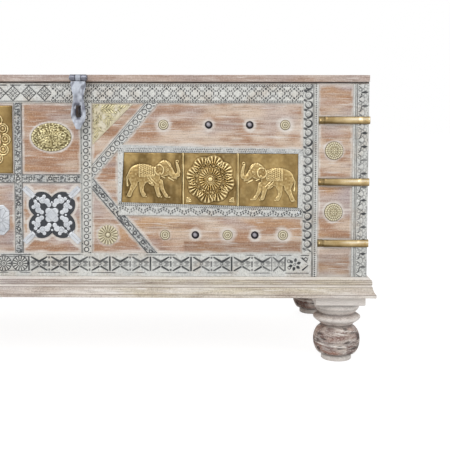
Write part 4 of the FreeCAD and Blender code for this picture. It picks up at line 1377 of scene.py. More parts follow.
@dataclass
class CarvedStrips(SubAssembly):
    """The carved strips that divide the front."""

    rail_cell: float = 0.75
    cell: float = 0.7
    depth: float = 1.1
    top_level: float = 421.9
    foot_level: float = 158.9
    cross_levels: Point = (284.2, 297.8)
    diamonds: tuple[float, ...] = (11.0, 33.0, 55.0, 79.3, 103.5)
    rosettes: tuple[float, ...] = (12.3, 37.0, 62.4)

    def cut(
        self, x: Array, z: Array, ink: Array, tone: Any, change: Patches, least: float = 1.0,
        more: Patches = (0.0, 9.0, 0),
    ) -> Layers:
        """Turn marks into a cut face, with dark colour in the cuts.

        Args:
            x: places across.
            z: heights.
            ink: share of the marks.
            tone: how dark the ground is.
            change: by how much that changes, the size of its patches and their seed.
            least: how much of the marks shows where they are faintest.
            more: how much more may show, the size of its patches and their seed.

        Returns:
            The relief and its layers.
        """
        ink = held(ink * (least + more[0] * cloud(x, z, *more[1:])))
        shade = held(tone + change[0] * drift(x, z, *change[1:]))
        return {"rise": -self.depth * ink, "ink": ink, "shade": shade}

    def rope(self, away: Array, along: Array, apart: float = 1.75) -> Array:
        """Share of two rows of dashes, one to each side of a line."""
        return most(line(away - apart, 2.0) * line(row(along, 0.0, 4.3), 2.3),
                    line(away + apart, 2.0) * line(row(along, 1.0, 4.3), 2.3))

    def top_rail(self, x: Array, z: Array) -> Layers:
        """Framed diamonds in the middle, and a rope lattice to each side.

        Args:
            x: places across.
            z: heights.

        Returns:
            The relief and its layers.
        """
        side, level = np.abs(x), z - self.top_level
        across = row(side, 116.6, 21.7)
        away = (np.abs(across) / 10.85 + np.abs(level) / 10.2 - 1.0) * 7.43
        ropes = self.rope(away, np.abs(across) * 1.37) * (np.abs(level) < 10.8)
        small = most(cees(side, level - 12.2, 3.9), cees(side, level + 12.5, 3.9))
        u, v = np.abs(nearest(side, self.diamonds)), np.abs(level)
        framed = most(
            line((u + v - 11.2) * 0.707, 1.15), hoop(u, v, 2.7, 0.9), spot(u, v, 0.6),
            spot(u - 4.1, v - 4.1, 0.8), eye(u, v - 7.2, (2.1, 3.2), 0.75) * (u + v < 11.4),
            eye(u - 7.2, v, (3.2, 2.1), 0.75) * (u + v < 11.4),
        )
        rims = most(line(level - 12.4, 1.6) * broken(side, 51, 7.0), line(level + 12.2, 1.0))
        middle = side < 113.5
        ink = np.where(middle, most(framed, rims), most(ropes, small))
        open_cell = (np.abs(across) + np.abs(level) < 5.6) & ~middle
        tone = np.where(middle, 0.16, 0.08 - 0.3 * open_cell)
        return self.cut(x, z, ink, tone, (0.35, (30.0, 12.0), 52), 0.88, (0.3, (11.0, 8.0), 53))

    def punched(self, x: Array, z: Array, ring: Array, across: Array, half: float, seed: int) -> Layers:
        """Punched ground with rings along its middle and a dark line at each edge.

        Args:
            x: places across.
            z: heights.
            ring: places along the strip, from the nearest ring.
            across: places across the strip.
            half: half the strip's width.
            seed: which random set.

        Returns:
            The relief and its layers.
        """
        ink = most(0.95 * stamped(x, z, seed) * (np.abs(across) < half - 0.9), hoop(ring, across, 2.3, 1.5),
                   line(np.abs(across) - half, 1.25) * (0.6 + 0.7 * cloud(x, z, 7.0, seed + 3)))
        return self.cut(x, z, ink * (1.0 - spot(ring, across, 1.4)), 0.30, (0.5, 16.0, seed + 4))

    def columns(self, x: Array, z: Array) -> Array:
        """Double line and dotted column at the outer edge of the end stile."""
        return most(line(x - 514.5, 0.8), line(x - 516.4, 0.7), spot(x - 519.2, row(z, 1.0, 3.3), 1.05))

    def bottom_rail(self, x: Array, z: Array) -> Layers:
        """Rosettes in the middle, crossed gouges in cells, and a flower at each end.

        Args:
            x: places across.
            z: heights.

        Returns:
            The relief and its layers.
        """
        side, level = np.abs(x), z - self.foot_level
        last = side > 453.8
        cell = np.where(last, (side - 463.75) * 1.5, row(side, 92.05, 31.49))
        u, v = np.abs(cell), np.abs(level)
        dark = np.where(cell > 0.0, 0.85, 0.6) * np.interp(side, (100.0, 330.0), (1.0, 0.7))
        crossed = most(
            0.9 * gouge(u, level, (12.0, 10.2), (1.4, 3.8), (2.2, 3.7)),
            0.9 * gouge(u, level, (12.0, -10.4), (2.0, -4.6), (2.2, 3.0)),
            dark * leaf(u, level, (8.9, 2.5), (4.9, 2.6), -6.0),
            0.8 * dark * leaf(u, level, (8.7, -2.4), (4.6, 2.1), 6.0), hoop(cell, level, 1.7, 1.0),
            0.6 * hoop(cell, level, 3.6, 0.6),
        )
        pair = np.where(row(side, 75.9, 62.98) ** 2 < 240.0, 1.0, 0.75 * (np.abs(v - 6.0) > 1.6))
        bars = line(np.where(last, 9.9, row(side, 75.9, 31.49)), 2.5) * held((11.6 - v) / EDGE) * pair
        bars = most(bars, line(side - 473.7, 2.0) * (v < 10.8))
        rose_u = nearest(side, self.rosettes)
        far, turn = polar(rose_u, level)
        petals = rays(far, turn, 14, (4.6, 11.0), 0.5 + 0.13 * far)
        roses = most(petals, line(far - 11.9, 1.3), hoop(rose_u, level, 1.5, 1.2), line(far - 4.1, 1.0))
        corners = line(v - 11.0, 0.9) * (far > 12.6)
        fu, fv = side - 488.5, level + 0.5
        far_f, turn_f = polar(fu, fv)
        petal = row(turn_f, 0.35, math.tau / 6)
        blade = 2.6 * np.sin(held((far_f - 3.0) / 7.6) * math.pi) - far_f * np.abs(np.sin(petal))
        flower = most(
            held(blade / EDGE) * (far_f < 10.6), hoop(fu, fv, 1.6, 1.0),
            hoop(side - 479.5, level - 4.6, 2.3, 1.1), hoop(side - 480.2, level + 5.4, 2.3, 1.1),
            gouge(side, level, (500.0, 9.5), (507.0, 3.0), (2.4, 1.2)),
            gouge(side, level, (501.0, -9.0), (509.0, -2.0), (2.6, 1.2)),
            hoop(side - 505.5, level - 7.6, 2.6, 1.1),
        )
        rims = most(
            line(level - 13.9, 1.0) * broken(side, 61, 14.0),
            line(level + 14.0, 1.1) * broken(side, 62, 12.0)
        )
        ink = np.where(side < 75.0, most(roses, corners), np.where(side < 475.0, most(crossed, bars), flower))
        ink = most(np.where(side > 511.0, self.columns(side, z), ink), rims * (side < 511.0))
        tone = np.where(side < 75.0, 0.22 - 0.3 * (far < 11.0), 0.12)
        return self.cut(x, z, ink, tone, (0.3, (26.0, 12.0), 64), 0.86, (0.3, (14.0, 9.0), 63))

    def inner_stile(self, x: Array, z: Array) -> Layers:
        """Punched ground with rings far apart."""
        return self.punched(x, z, row(z, 291.0, 39.0), x - 61.25, 5.7, 71)

    def cross_rail(self, x: Array, z: Array) -> Layers:
        """The same ground, with three rings to each side."""
        return self.punched(x, z, nearest(np.abs(x), (0.0, 35.0, 80.2, 111.0, 149.5)), z - 291.0, 6.1, 73)

    def field_stile(self, x: Array, z: Array) -> Layers:
        """A chain of rings with dots to one side and a double line to the other.

        Args:
            x: places across.
            z: heights.

        Returns:
            The relief and its layers.
        """
        u = x - 166.0
        ink = most(
            hoop(u, row(z, 181.0, 10.2), 3.5, 1.4), spot(u - 5.8, row(z, 186.1, 10.2), 1.25),
            spot(u - 3.4, row(z, 186.1, 10.2), 0.8), spot(u + 6.6, row(z, 190.0, 23.4), 1.0),
            line(u + 7.4, 0.8), line(u + 5.9, 0.6) * 0.8,
        )
        # Painted shadow: the stile darkens where each hasp's slot hangs in front of it
        behind = held(1.0 - gap(x, z, (157.5, 388.0), (157.5, 400.0), (3.2, 3.2)) / 3.0)
        ink = most(ink * (0.70 + 0.4 * cloud(x, z, 12.0, 75)), behind)
        return self.cut(x, z, ink, 0.0, (0.3, (9.0, 26.0), 76))

    def end_stile(self, x: Array, z: Array) -> Layers:
        """Bold crescents with a tooth between each two, then lines and dots.

        Args:
            x: places across.
            z: heights.

        Returns:
            The relief and its layers.
        """
        u, v = x - 508.3, row(z, 419.0, 14.3)
        crescent = held(spot(u, v, 6.1) - spot(u + 1.0, v - 0.9, 4.1))
        low = row(z, 411.4, 14.3)
        teeth = most(
            leaf(u, low, (-5.6, 0.0), (3.3, 1.9), -28.0), gouge(u, low, (-3.0, 1.0), (0.0, 1.2), (1.6, 1.0))
        )
        ink = most(crescent, teeth, 0.55 * hoop(u + 1.4, v, 1.9, 0.9)) * (z > 178.0)
        lattice = most(cees(x, z - 434.2, 3.9), cees(x, z - 427.5, 3.9)) * (x < 512.0) * (z > 425.5)
        ink = most(ink, lattice, self.columns(x, z))
        return self.cut(x, z, ink, 0.10, (0.25, (9.0, 26.0), 78), 0.68, (0.4, (5.0, 7.0), 77))

    def corner_stile(self, x: Array, z: Array) -> Layers:
        """A scroll of tulips and curls beside a double line.

        Args:
            x: places across.
            z: heights.

        Returns:
            The relief and its layers.
        """
        u, v = x - 576.0, row(z, 424.0, 20.7)
        w = row(z, 424.0 - 10.35, 20.7)
        ink = most(
            line(u - 3.4, 0.9), line(u - 5.8, 0.9), line(u - 22.9, 0.7) * broken(z, 79),
            leaf(u, v, (17.6, 0.0), (5.0, 1.9), 0.0), 0.6 * hoop(u - 18.2, np.abs(v) - 5.0, 2.6, 0.8),
            gouge(u, v, (13.0, 0.0), (10.5, -8.4), (1.2, 1.0)),
            gouge(u, np.abs(v), (8.2, 9.0), (14.2, 5.2), (1.0, 0.8)),
            0.8 * hoop(u - 10.0, v - 4.0, 2.2, 0.8), 0.6 * hoop(u - 9.8, v + 4.4, 1.8, 0.8),
            0.7 * line(u - 14.6 - 2.6 * np.cos(w * math.tau / 20.7), 0.8), 0.6 * spot(u - 21.6, w, 0.9),
        )
        return self.cut(x, z, ink, 0.16, (0.3, (12.0, 30.0), 81), 0.66, (0.5, (9.0, 14.0), 80))

    def upper_brace(self, x: Array, z: Array) -> Layers:
        """A chain of rings with ticks below it and a double line above it.

        Args:
            x: places across.
            z: heights.

        Returns:
            The relief and its layers.
        """
        along, across = slanted(x, z, (174.5, 289.0), (0.6542, 0.7563))
        u = row(along, 15.2, 10.7)
        tick = row(along, 20.5, 10.7)
        ink = most(
            hoop(u, across - 6.7, 3.7, 1.3), line(across - 11.7, 0.7), line(across - 14.2, 0.8),
            gouge(tick, across, (-0.6, 2.6), (0.9, 0.9), (1.5, 1.5)),
        )
        return self.cut(x, z, ink, 0.12, (0.3, 16.0, 83), 0.75, (0.4, 12.0, 82))

    def lower_brace(self, x: Array, z: Array) -> Layers:
        """Punched ground with rings."""
        along, across = slanted(x, z, (174.5, 274.4), (0.649, -0.7604))
        return self.punched(along, across, row(along, 0.5, 18.8), across - 6.85, 5.4, 84)

    def tile_frame(self, x: Array, z: Array) -> Layers:
        """Faint dots above the tiles, and dashes and small arcs below them.

        Args:
            x: places across.
            z: heights.

        Returns:
            The relief and its layers.
        """
        foot = 254.4 - (x - 220.3) * 0.0290
        head = 331.7 - (x - 224.5) * 0.0067
        dots = spot(row(x + 1.7 * (z > head + 4.0), 0.0, 3.4), np.abs(z - head - 4.0) - 1.6, 0.9)
        dots = dots * broken(x, 86)
        drop = foot - z
        dashes = most(line(row(x + 0.5 * z, 0.0, 3.1), 1.6) * line(drop - 1.5, 1.8),
                      line(row(x + 0.5 * z, 1.0, 3.1), 1.6) * line(drop - 4.0, 1.6))
        across = np.abs(row(x, 243.5, 21.1))
        scallop = self.rope((drop - 7.2 - 0.62 * across) * 0.85, across * 1.2, 1.5) * (drop > 5.4)
        below, above = z < foot, z > head - 0.5
        ends = line(row(z, 0.0, 15.0), 1.6) * line(x - 218.3, 1.6)
        ink = np.where(below, most(dashes, scallop), np.where(above, 0.75 * dots, 0.6 * ends))
        tone = np.where(above, 0.36, 0.12)
        return self.cut(x, z, ink, tone, (0.25, (26.0, 9.0), 88), 0.82, (0.4, 10.0, 87))

    def strip(self, name: str, left: Edge, right: Edge, design: Design, cell: float) -> Piece:
        """Make one strip between two edges, with its rims rounded over."""
        return worked_sheet(name, left, right, design, STRIP_FACE, SHEET_BACK, cell)

    def build(self) -> None:
        """Make the strips, and mirror those that have a twin."""
        keep = (Body.CHEST, Slot.CARVED_STRIP, self.finishes.carved)
        rails = {
            "top_rail": ((500.0, FIELD_TOP, FRAME_TOP), self.top_rail),
            "bottom_rail": ((523.0, FRAME_FOOT, FIELD_FOOT), self.bottom_rail),
        }
        for name, ((half, low, high), design) in rails.items():
            left, right = ((-half, low), (-half, high)), ((half, low), (half, high))
            dress(self.strip(f"carved_{name}", left, right, design, self.rail_cell), *keep, name)
        low, high = self.cross_levels
        crosses = [
            self.strip(
                f"cross_{start:.0f}", ((start, low), (start, high)), ((end, low), (end, high)),
                self.cross_rail, self.cell,
            )
            for start, end in ((-157.5, -67.5), (-55.0, 55.0), (67.5, 157.5))
        ]
        dress(joined("carved_cross_rails", crosses), *keep, "cross_rails")
        uprights = {
            "inner_stile": (55.0, 67.5, FIELD_FOOT, FIELD_TOP, self.inner_stile),
            "field_stile": (157.5, 174.5, FIELD_FOOT, FIELD_TOP, self.field_stile),
            "end_stile": (500.0, 523.0, FIELD_FOOT, FRAME_TOP, self.end_stile),
            "corner_stile": (576.0, 600.0, FRAME_FOOT, FRAME_TOP, self.corner_stile),
        }
        made = {
            name: self.strip(name, ((x0, z0), (x0, z1)), ((x1, z0), (x1, z1)), design, self.cell)
            for name, (x0, x1, z0, z1, design) in uprights.items()
        }
        made["upper_brace"] = self.strip(
            "upper_brace", ((174.5, 289.0), (174.5, 312.1)), ((277.0, 407.5), (257.0, 407.5)),
            self.upper_brace, self.cell
        )
        made["lower_brace"] = self.strip(
            "lower_brace", ((174.5, 274.4), (174.5, 289.0), (177.3, 292.2)), ((259.0, 175.4), (277.0, 175.4)),
            self.lower_brace, self.cell,
        )
        inner = ((220.1, 254.4), (224.3, 331.9), (492.7, 330.1), (492.7, 246.3))
        outer = ((215.0, 234.5), (215.0, 343.3), (500.0, 337.0), (500.0, 232.5))
        bars = [
            ("head", (inner[1], outer[1]), (inner[2], outer[2])),
            ("foot", (outer[0], inner[0]), (outer[3], inner[3])),
            ("near", (outer[0], outer[1]), (inner[0], inner[1])),
            ("far", (inner[3], inner[2]), (outer[3], outer[2])),
        ]
        made["tile_frame"] = joined(
            "tile_frame",
            [self.strip(name, left, right, self.tile_frame, self.cell) for name, left, right in bars]
        )
        for name, piece in made.items():
            twin = mirrored(piece, f"carved_{name}_left")
            piece.name = piece.data.name = f"carved_{name}_right"
            dress(piece, *keep, f"{name}_right")
            dress(twin, *keep, f"{name}_left")


@dataclass
class TileRows(SubAssembly):
    """Rows of three embossed brass tiles: an elephant, a flower and an elephant."""

    corners: tuple[Point, ...] = ((220.5, 254.2), (224.5, 331.5), (492.4, 329.8), (492.4, 246.7))
    joints: tuple[float, ...] = (0.0, 0.339, 0.654, 1.0)
    cell: float = 0.68
    seam: float = 0.02
    middle: float = 290.6
    tall: float = 78.0
    width: float = 90.0
    height: float = 79.0

    def elephant(self, u: Array, v: Array) -> Array:
        """Height of an elephant that walks to the right, for places from the tile's lower left corner.

        Args:
            u: places to the right.
            v: places up.

        Returns:
            The height.
        """
        barrel = np.hypot((u - 29.5) / 22.5, (v - 47.0) / 14.5) * 16.0 - 16.0
        chest = np.hypot((u - 45.0) / 10.5, (v - 43.0) / 15.5) * 12.0 - 12.0
        head = np.hypot((u - 61.5) / 11.5, (v - 56.0) / 12.5) * 12.0 - 12.0
        trunk = chain(u, v, (
            (69.0, 54.0, 5.4), (73.5, 47.5, 4.4), (78.0, 44.0, 3.4), (82.6, 46.0, 2.8), (83.6, 52.0, 2.3),
            (81.8, 60.0, 2.0), (80.4, 64.5, 1.7),
        ))
        near_fore = chain(u, v, ((49.0, 38.0, 6.0), (50.0, 27.0, 3.8), (51.5, 18.0, 2.6), (53.0, 13.6, 3.1)))
        far_fore = chain(u, v, ((55.0, 34.0, 4.4), (58.0, 24.0, 2.8), (61.5, 17.0, 2.3), (64.5, 12.8, 2.7)))
        near_hind = chain(u, v, ((14.0, 42.0, 8.6), (15.5, 29.0, 4.6), (11.0, 20.0, 2.8), (8.0, 12.4, 3.2)))
        far_hind = chain(u, v, ((29.0, 36.0, 5.8), (26.6, 27.0, 3.6), (27.4, 18.5, 2.5), (30.0, 13.6, 3.1)))
        tail = chain(u, v, ((8.4, 48.0, 1.2), (4.6, 41.0, 0.9), (4.8, 32.0, 0.8), (5.4, 27.0, 1.5)))
        tusks = np.minimum.reduce([
            gap(u, v, (57.0, 43.6), (62.5, 40.6), (1.1, 0.7)),
            gap(u, v, (68.5, 41.0), (76.0, 36.6), (1.1, 0.6)),
            gap(u, v, (73.5, 41.4), (80.8, 39.6), (1.0, 0.6)),
        ])
        rise = most(
            1.7 * dome(far_hind, 5.0), 1.7 * dome(far_fore, 4.0), 2.4 * dome(barrel, 9.0),
            2.5 * dome(chest, 7.0), 2.4 * dome(near_hind, 6.0), 2.6 * dome(near_fore, 5.0),
            2.9 * dome(head, 7.0), 2.7 * dome(trunk, 3.4), 1.6 * dome(tail, 1.0), 1.8 * dome(tusks, 0.8),
        )
        cloth = (u > 23.5) * (u < 47.0) * (v > 44.0) * (barrel < -0.6)
        weave = spot(row(u, 0.0, 3.1), row(v + 1.5 * (np.floor(u / 3.1) % 2), 0.0, 3.0), 1.0)
        hem = most(line(u - 23.5, 1.3), line(v - 44.0, 1.3), line(u - 46.5, 1.3))
        hem = hem * (barrel < 0.5) * (v > 43.2) * (u > 22.6) * (u < 47.4)
        fringe = spot(row(u, 0.0, 2.4), v - 42.0, 0.9) * (u > 23.0) * (u < 47.0)
        ear = np.hypot((u - 54.0) / 6.6, (v - 53.0) / 7.8)
        ear_rim = line((ear - 1.0) * 6.6, 1.7)
        lobe = dome(np.minimum(np.hypot(u - 52.2, v - 46.4), np.hypot(u - 55.2, v - 46.8)) - 2.2, 2.0)
        girth = most(
            line(gap(u, v, (40.0, 41.0), (49.0, 31.0)), 1.1),
            line(gap(u, v, (36.5, 40.0), (45.0, 29.0)), 1.0),
            line(gap(u, v, (31.0, 33.0), (44.0, 30.5)), 1.0), spot(u - 39.0, v - 36.0, 1.4),
            spot(u - 43.0, v - 33.0, 1.2), line(gap(u, v, (40.0, 41.0), (43.0, 36.0)), 1.0),
        ) * (most(-barrel, -chest) > 0.0)
        brow = most(
            hoop(u - 81.2, v - 66.6, 1.9, 1.1), line(gap(u, v, (64.0, 68.0), (71.0, 58.0)), 1.0),
            line(gap(u, v, (54.5, 63.5), (61.0, 68.6)), 1.2), hoop(u - 67.0, v - 53.8, 1.3, 0.7),
            spot(u - 57.0, v - 65.0, 1.1), spot(u - 60.4, v - 67.0, 1.1),
        )
        toes = most(*[
            spot(u - place - step, v - 10.6, 0.85)
            for place in (53.0, 29.6, 4.4, 65.8) for step in (0.0, 2.0, 4.0)
        ])
        rib = line(trunk + 0.2, 0.8) * line(row(v, 0.0, 2.3), 1.2)
        marks = most(
            0.7 * cloth * weave, 0.8 * hem, 0.7 * fringe, 0.9 * ear_rim, 0.8 * lobe, 0.8 * girth,
            0.7 * brow, 0.6 * toes, 0.3 * rib,
        )
        outline = np.minimum.reduce([barrel, chest, head, trunk, near_fore, far_fore, near_hind, far_hind])
        skin = 0.6 * cloud(u, v, (2.6, 3.0), 94) * (outline < -1.0)
        rim = 0.45 * line(outline + 0.4, 1.0) * (0.4 + 1.1 * cloud(u, v, 9.0, 95))
        return 0.62 * rise + marks + skin + rim

    def flower(self, u: Array, v: Array) -> Array:
        """Height of a layered flower about the tile's middle.

        Args:
            u: places to the right.
            v: places up.

        Returns:
            The height.
        """
        far, turn = polar(u, v)
        petal = petalled(turn, 24, 0.05)
        petals = (0.12 + 0.88 * petal) * held((far - 6.6) / 1.6) * held((18.4 - far) / 1.8)
        wreath = np.zeros_like(far)
        for number in range(16):
            root, length, ribs, spread, height = (
                (19.0, 18.8, 5, 88.0, 3.7) if number % 2 else (18.5, 13.0, 3, 52.0, 2.9)
            )
            angle = math.tau * (number + 0.4) / 16
            place = (root * math.cos(angle), root * math.sin(angle))
            wreath = most(wreath, height * fan(u, v, place, math.degrees(angle), length, ribs, spread))
        collar = beads(far, turn, 20.0, 40, 1.0) * cloud(u, v, 9.0, 96)
        return most(
            3.4 * dome(far - 4.2, 4.2), 1.3 * line(far - 5.4, 0.8), 3.2 * petals, wreath, 1.2 * collar,
            0.6 * dome(far - 19.0, 2.0),
        ) * (0.65 + 0.7 * cloud(u, v, 7.0, 97))

    def ground(self, x: Array, z: Array) -> Array:
        """Height of the sheet's own dents."""
        return 0.8 * cloud(x, z, (13.0, 15.0), 91) + 0.45 * cloud(x, z, (4.5, 5.0), 92)

    def design(self, number: int, left: float, right: float) -> Design:
        """Give the design of one tile of a row, between its two edges.

        Args:
            number: which tile of the row it is.
            left: X of its left edge.
            right: X of its right edge.

        Returns:
            The tile's design.
        """
        middle = (left + right) / 2

        def shape(x: Array, z: Array) -> Layers:
            """Shape one tile.

            Args:
                x: places across.
                z: heights.

            Returns:
                The relief and its layers.
            """
            foot = 254.2 - (x - 220.3) * 0.0276
            if number == 1:
                rise = self.flower(x - middle, z - self.middle)
                rise = most(rise, 1.2 * line(np.abs(x - middle) - (right - left) / 2 + 0.6, 1.6))
                root = ((right - left) / 2 - 5.0, 36.0)
                corner = fan(np.abs(x - middle), self.middle - z, root, 225.0, 9.0, 4, 60.0)
                rise = most(rise, 0.9 * corner)
            else:
                scale = self.width / (right - left)
                across = (x - left) * scale if number == 0 else (right - x) * scale
                rise = self.elephant(across, (z - foot) * self.height / self.tall)
                rise = most(rise, 1.2 * line(across - 89.4, 1.6))
            ground = self.ground(x, z)
            hollow = held(1.0 - rise / 0.5)
            ink = np.interp(x, (220.0, 490.0), (0.72, 0.26)) * hollow
            ink = ink * held(3.0 * cloud(x, z, (11.0, 17.0), 93) - 1.0)
            return {"rise": rise + ground, "ink": held(ink)}

        return shape

    def build(self) -> None:
        """Make one row of tiles and mirror it."""
        low_left, high_left, high_right, low_right = (np.array(corner) for corner in self.corners)
        tiles = []
        for number, (start, end) in enumerate(zip(self.joints, self.joints[1:])):
            edges = []
            for share, inset in ((start, self.seam), (end, -self.seam)):
                low = low_left + (low_right - low_left) * share + (inset, 0.0)
                high = high_left + (high_right - high_left) * share + (inset, 0.0)
                edges.append((tuple(low), tuple(high)))
            left, right = edges[0][1][0], edges[1][1][0]
            tiles.append(worked_sheet(
                f"tile_{number}", *edges, self.design(number, left, right), SHEET_FACE, SHEET_BACK, self.cell,
                0.38 if number == 1 else 0.50,
            ))
        right_row = joined("embossed_tiles_right", tiles)
        left_row = mirrored(right_row, "embossed_tiles_left")
        keep = (Body.CHEST, Slot.EMBOSSED_BRASS, self.finishes.brass)
        dress(right_row, *keep, "brass_tiles_right")
        dress(left_row, *keep, "brass_tiles_left")


@dataclass
class MiddlePlates(SubAssembly):
    """The brass panel and the silver plate of the middle bay."""

    panel: tuple[float, float, float] = (52.9, 299.2, 403.1)
    silver: tuple[float, float, float] = (46.4, 203.0, 249.8)
    scroll_level: float = 351.2
    engraving_level: float = 226.4
    corner: float = 9.0
    cell: float = 0.8

    def scroll(self, x: Array, z: Array) -> Layers:
        """Ring of small scrolls about a many-leaved flower.

        Args:
            x: places across.
            z: heights.

        Returns:
            The relief and its layers.
        """
        v = z - self.scroll_level
        far, turn = polar(x, v)
        lobe = row(turn, 0.0, math.tau / 16)
        a, b = far * np.cos(lobe) - 41.5, far * np.sin(lobe)
        curl = np.hypot(a, b - 0.6)
        loops = most(line(np.hypot(a, b) - 7.9, 1.3) * (a > -3.0), 0.8 * line(curl - 4.8, 1.1),
                     0.5 * dome(curl - 2.0, 2.0))
        petal = petalled(turn, 16)
        inner = held((far - 12.0) / 3.0) * held((31.0 - far) / 4.0) * (0.2 + 0.8 * petal)
        rise = most(
            1.2 * loops, 1.1 * line(far - 34.5, 1.4), 1.8 * inner, 2.6 * dome(far - 9.0, 9.0),
            1.2 * beads(far, turn, 11.0, 18, 1.3),
        ) * (far < 52.0)
        rise = rise + 0.8 * cloud(x, z, (30.0, 34.0), 101) + 0.2 * cloud(x, z, 6.0, 102)
        edge = held((np.abs(x) - 44.0) / 9.0)
        return {"rise": rise, "ink": held(0.35 * edge ** 2 + 0.45 * cloud(x, z, (16.0, 22.0), 103))}

    def engraving(self, x: Array, z: Array) -> Layers:
        """A flower in the middle and one at each end, in fine cut lines.

        Args:
            x: places across.
            z: heights.

        Returns:
            The relief and its layers.
        """
        side, v = np.abs(x), z - self.engraving_level
        ends, turn = polar(side - 33.0, v)
        lines = most(
            rays(ends, turn, 12, (3.5, 17.0)), line(ends - 3.0, 0.8),
            line(ends - 17.4 + 1.6 * np.cos(turn * 12.0), 0.8),
        )
        far, spin = polar(x, v)
        middle = most(rays(far, spin, 12, (3.5, 12.0)), line(far - 13.0, 0.8))
        ink = np.where(side > 15.5, lines, middle) * 0.55
        return {"rise": 0.5 * cloud(x, z, 16.0, 104) - 0.4 * ink, "ink": ink}

    def build(self) -> None:
        """Make both plates."""
        half, low, high = self.panel
        panel = worked_sheet(
            "scrolled_panel", ((-half, low), (-half, high)), ((half, low), (half, high)), self.scroll,
            SHEET_FACE, SHEET_BACK, self.cell, 0.55,
        )
        dress(panel, Body.CHEST, Slot.EMBOSSED_BRASS, self.finishes.brass, "centre_brass_panel")
        half, low, high = self.silver
        cut = self.corner
        edge = ((half - cut, low), (half, low + cut), (half, high - cut), (half - cut, high))
        plate = worked_sheet(
            "engraved_plate", tuple((-x, z) for x, z in edge), edge, self.engraving, SHEET_FACE, SHEET_BACK,
            self.cell
        )
        dress(plate, Body.CHEST, Slot.SILVERED_METAL, self.finishes.silver, "centre_silver_plate")


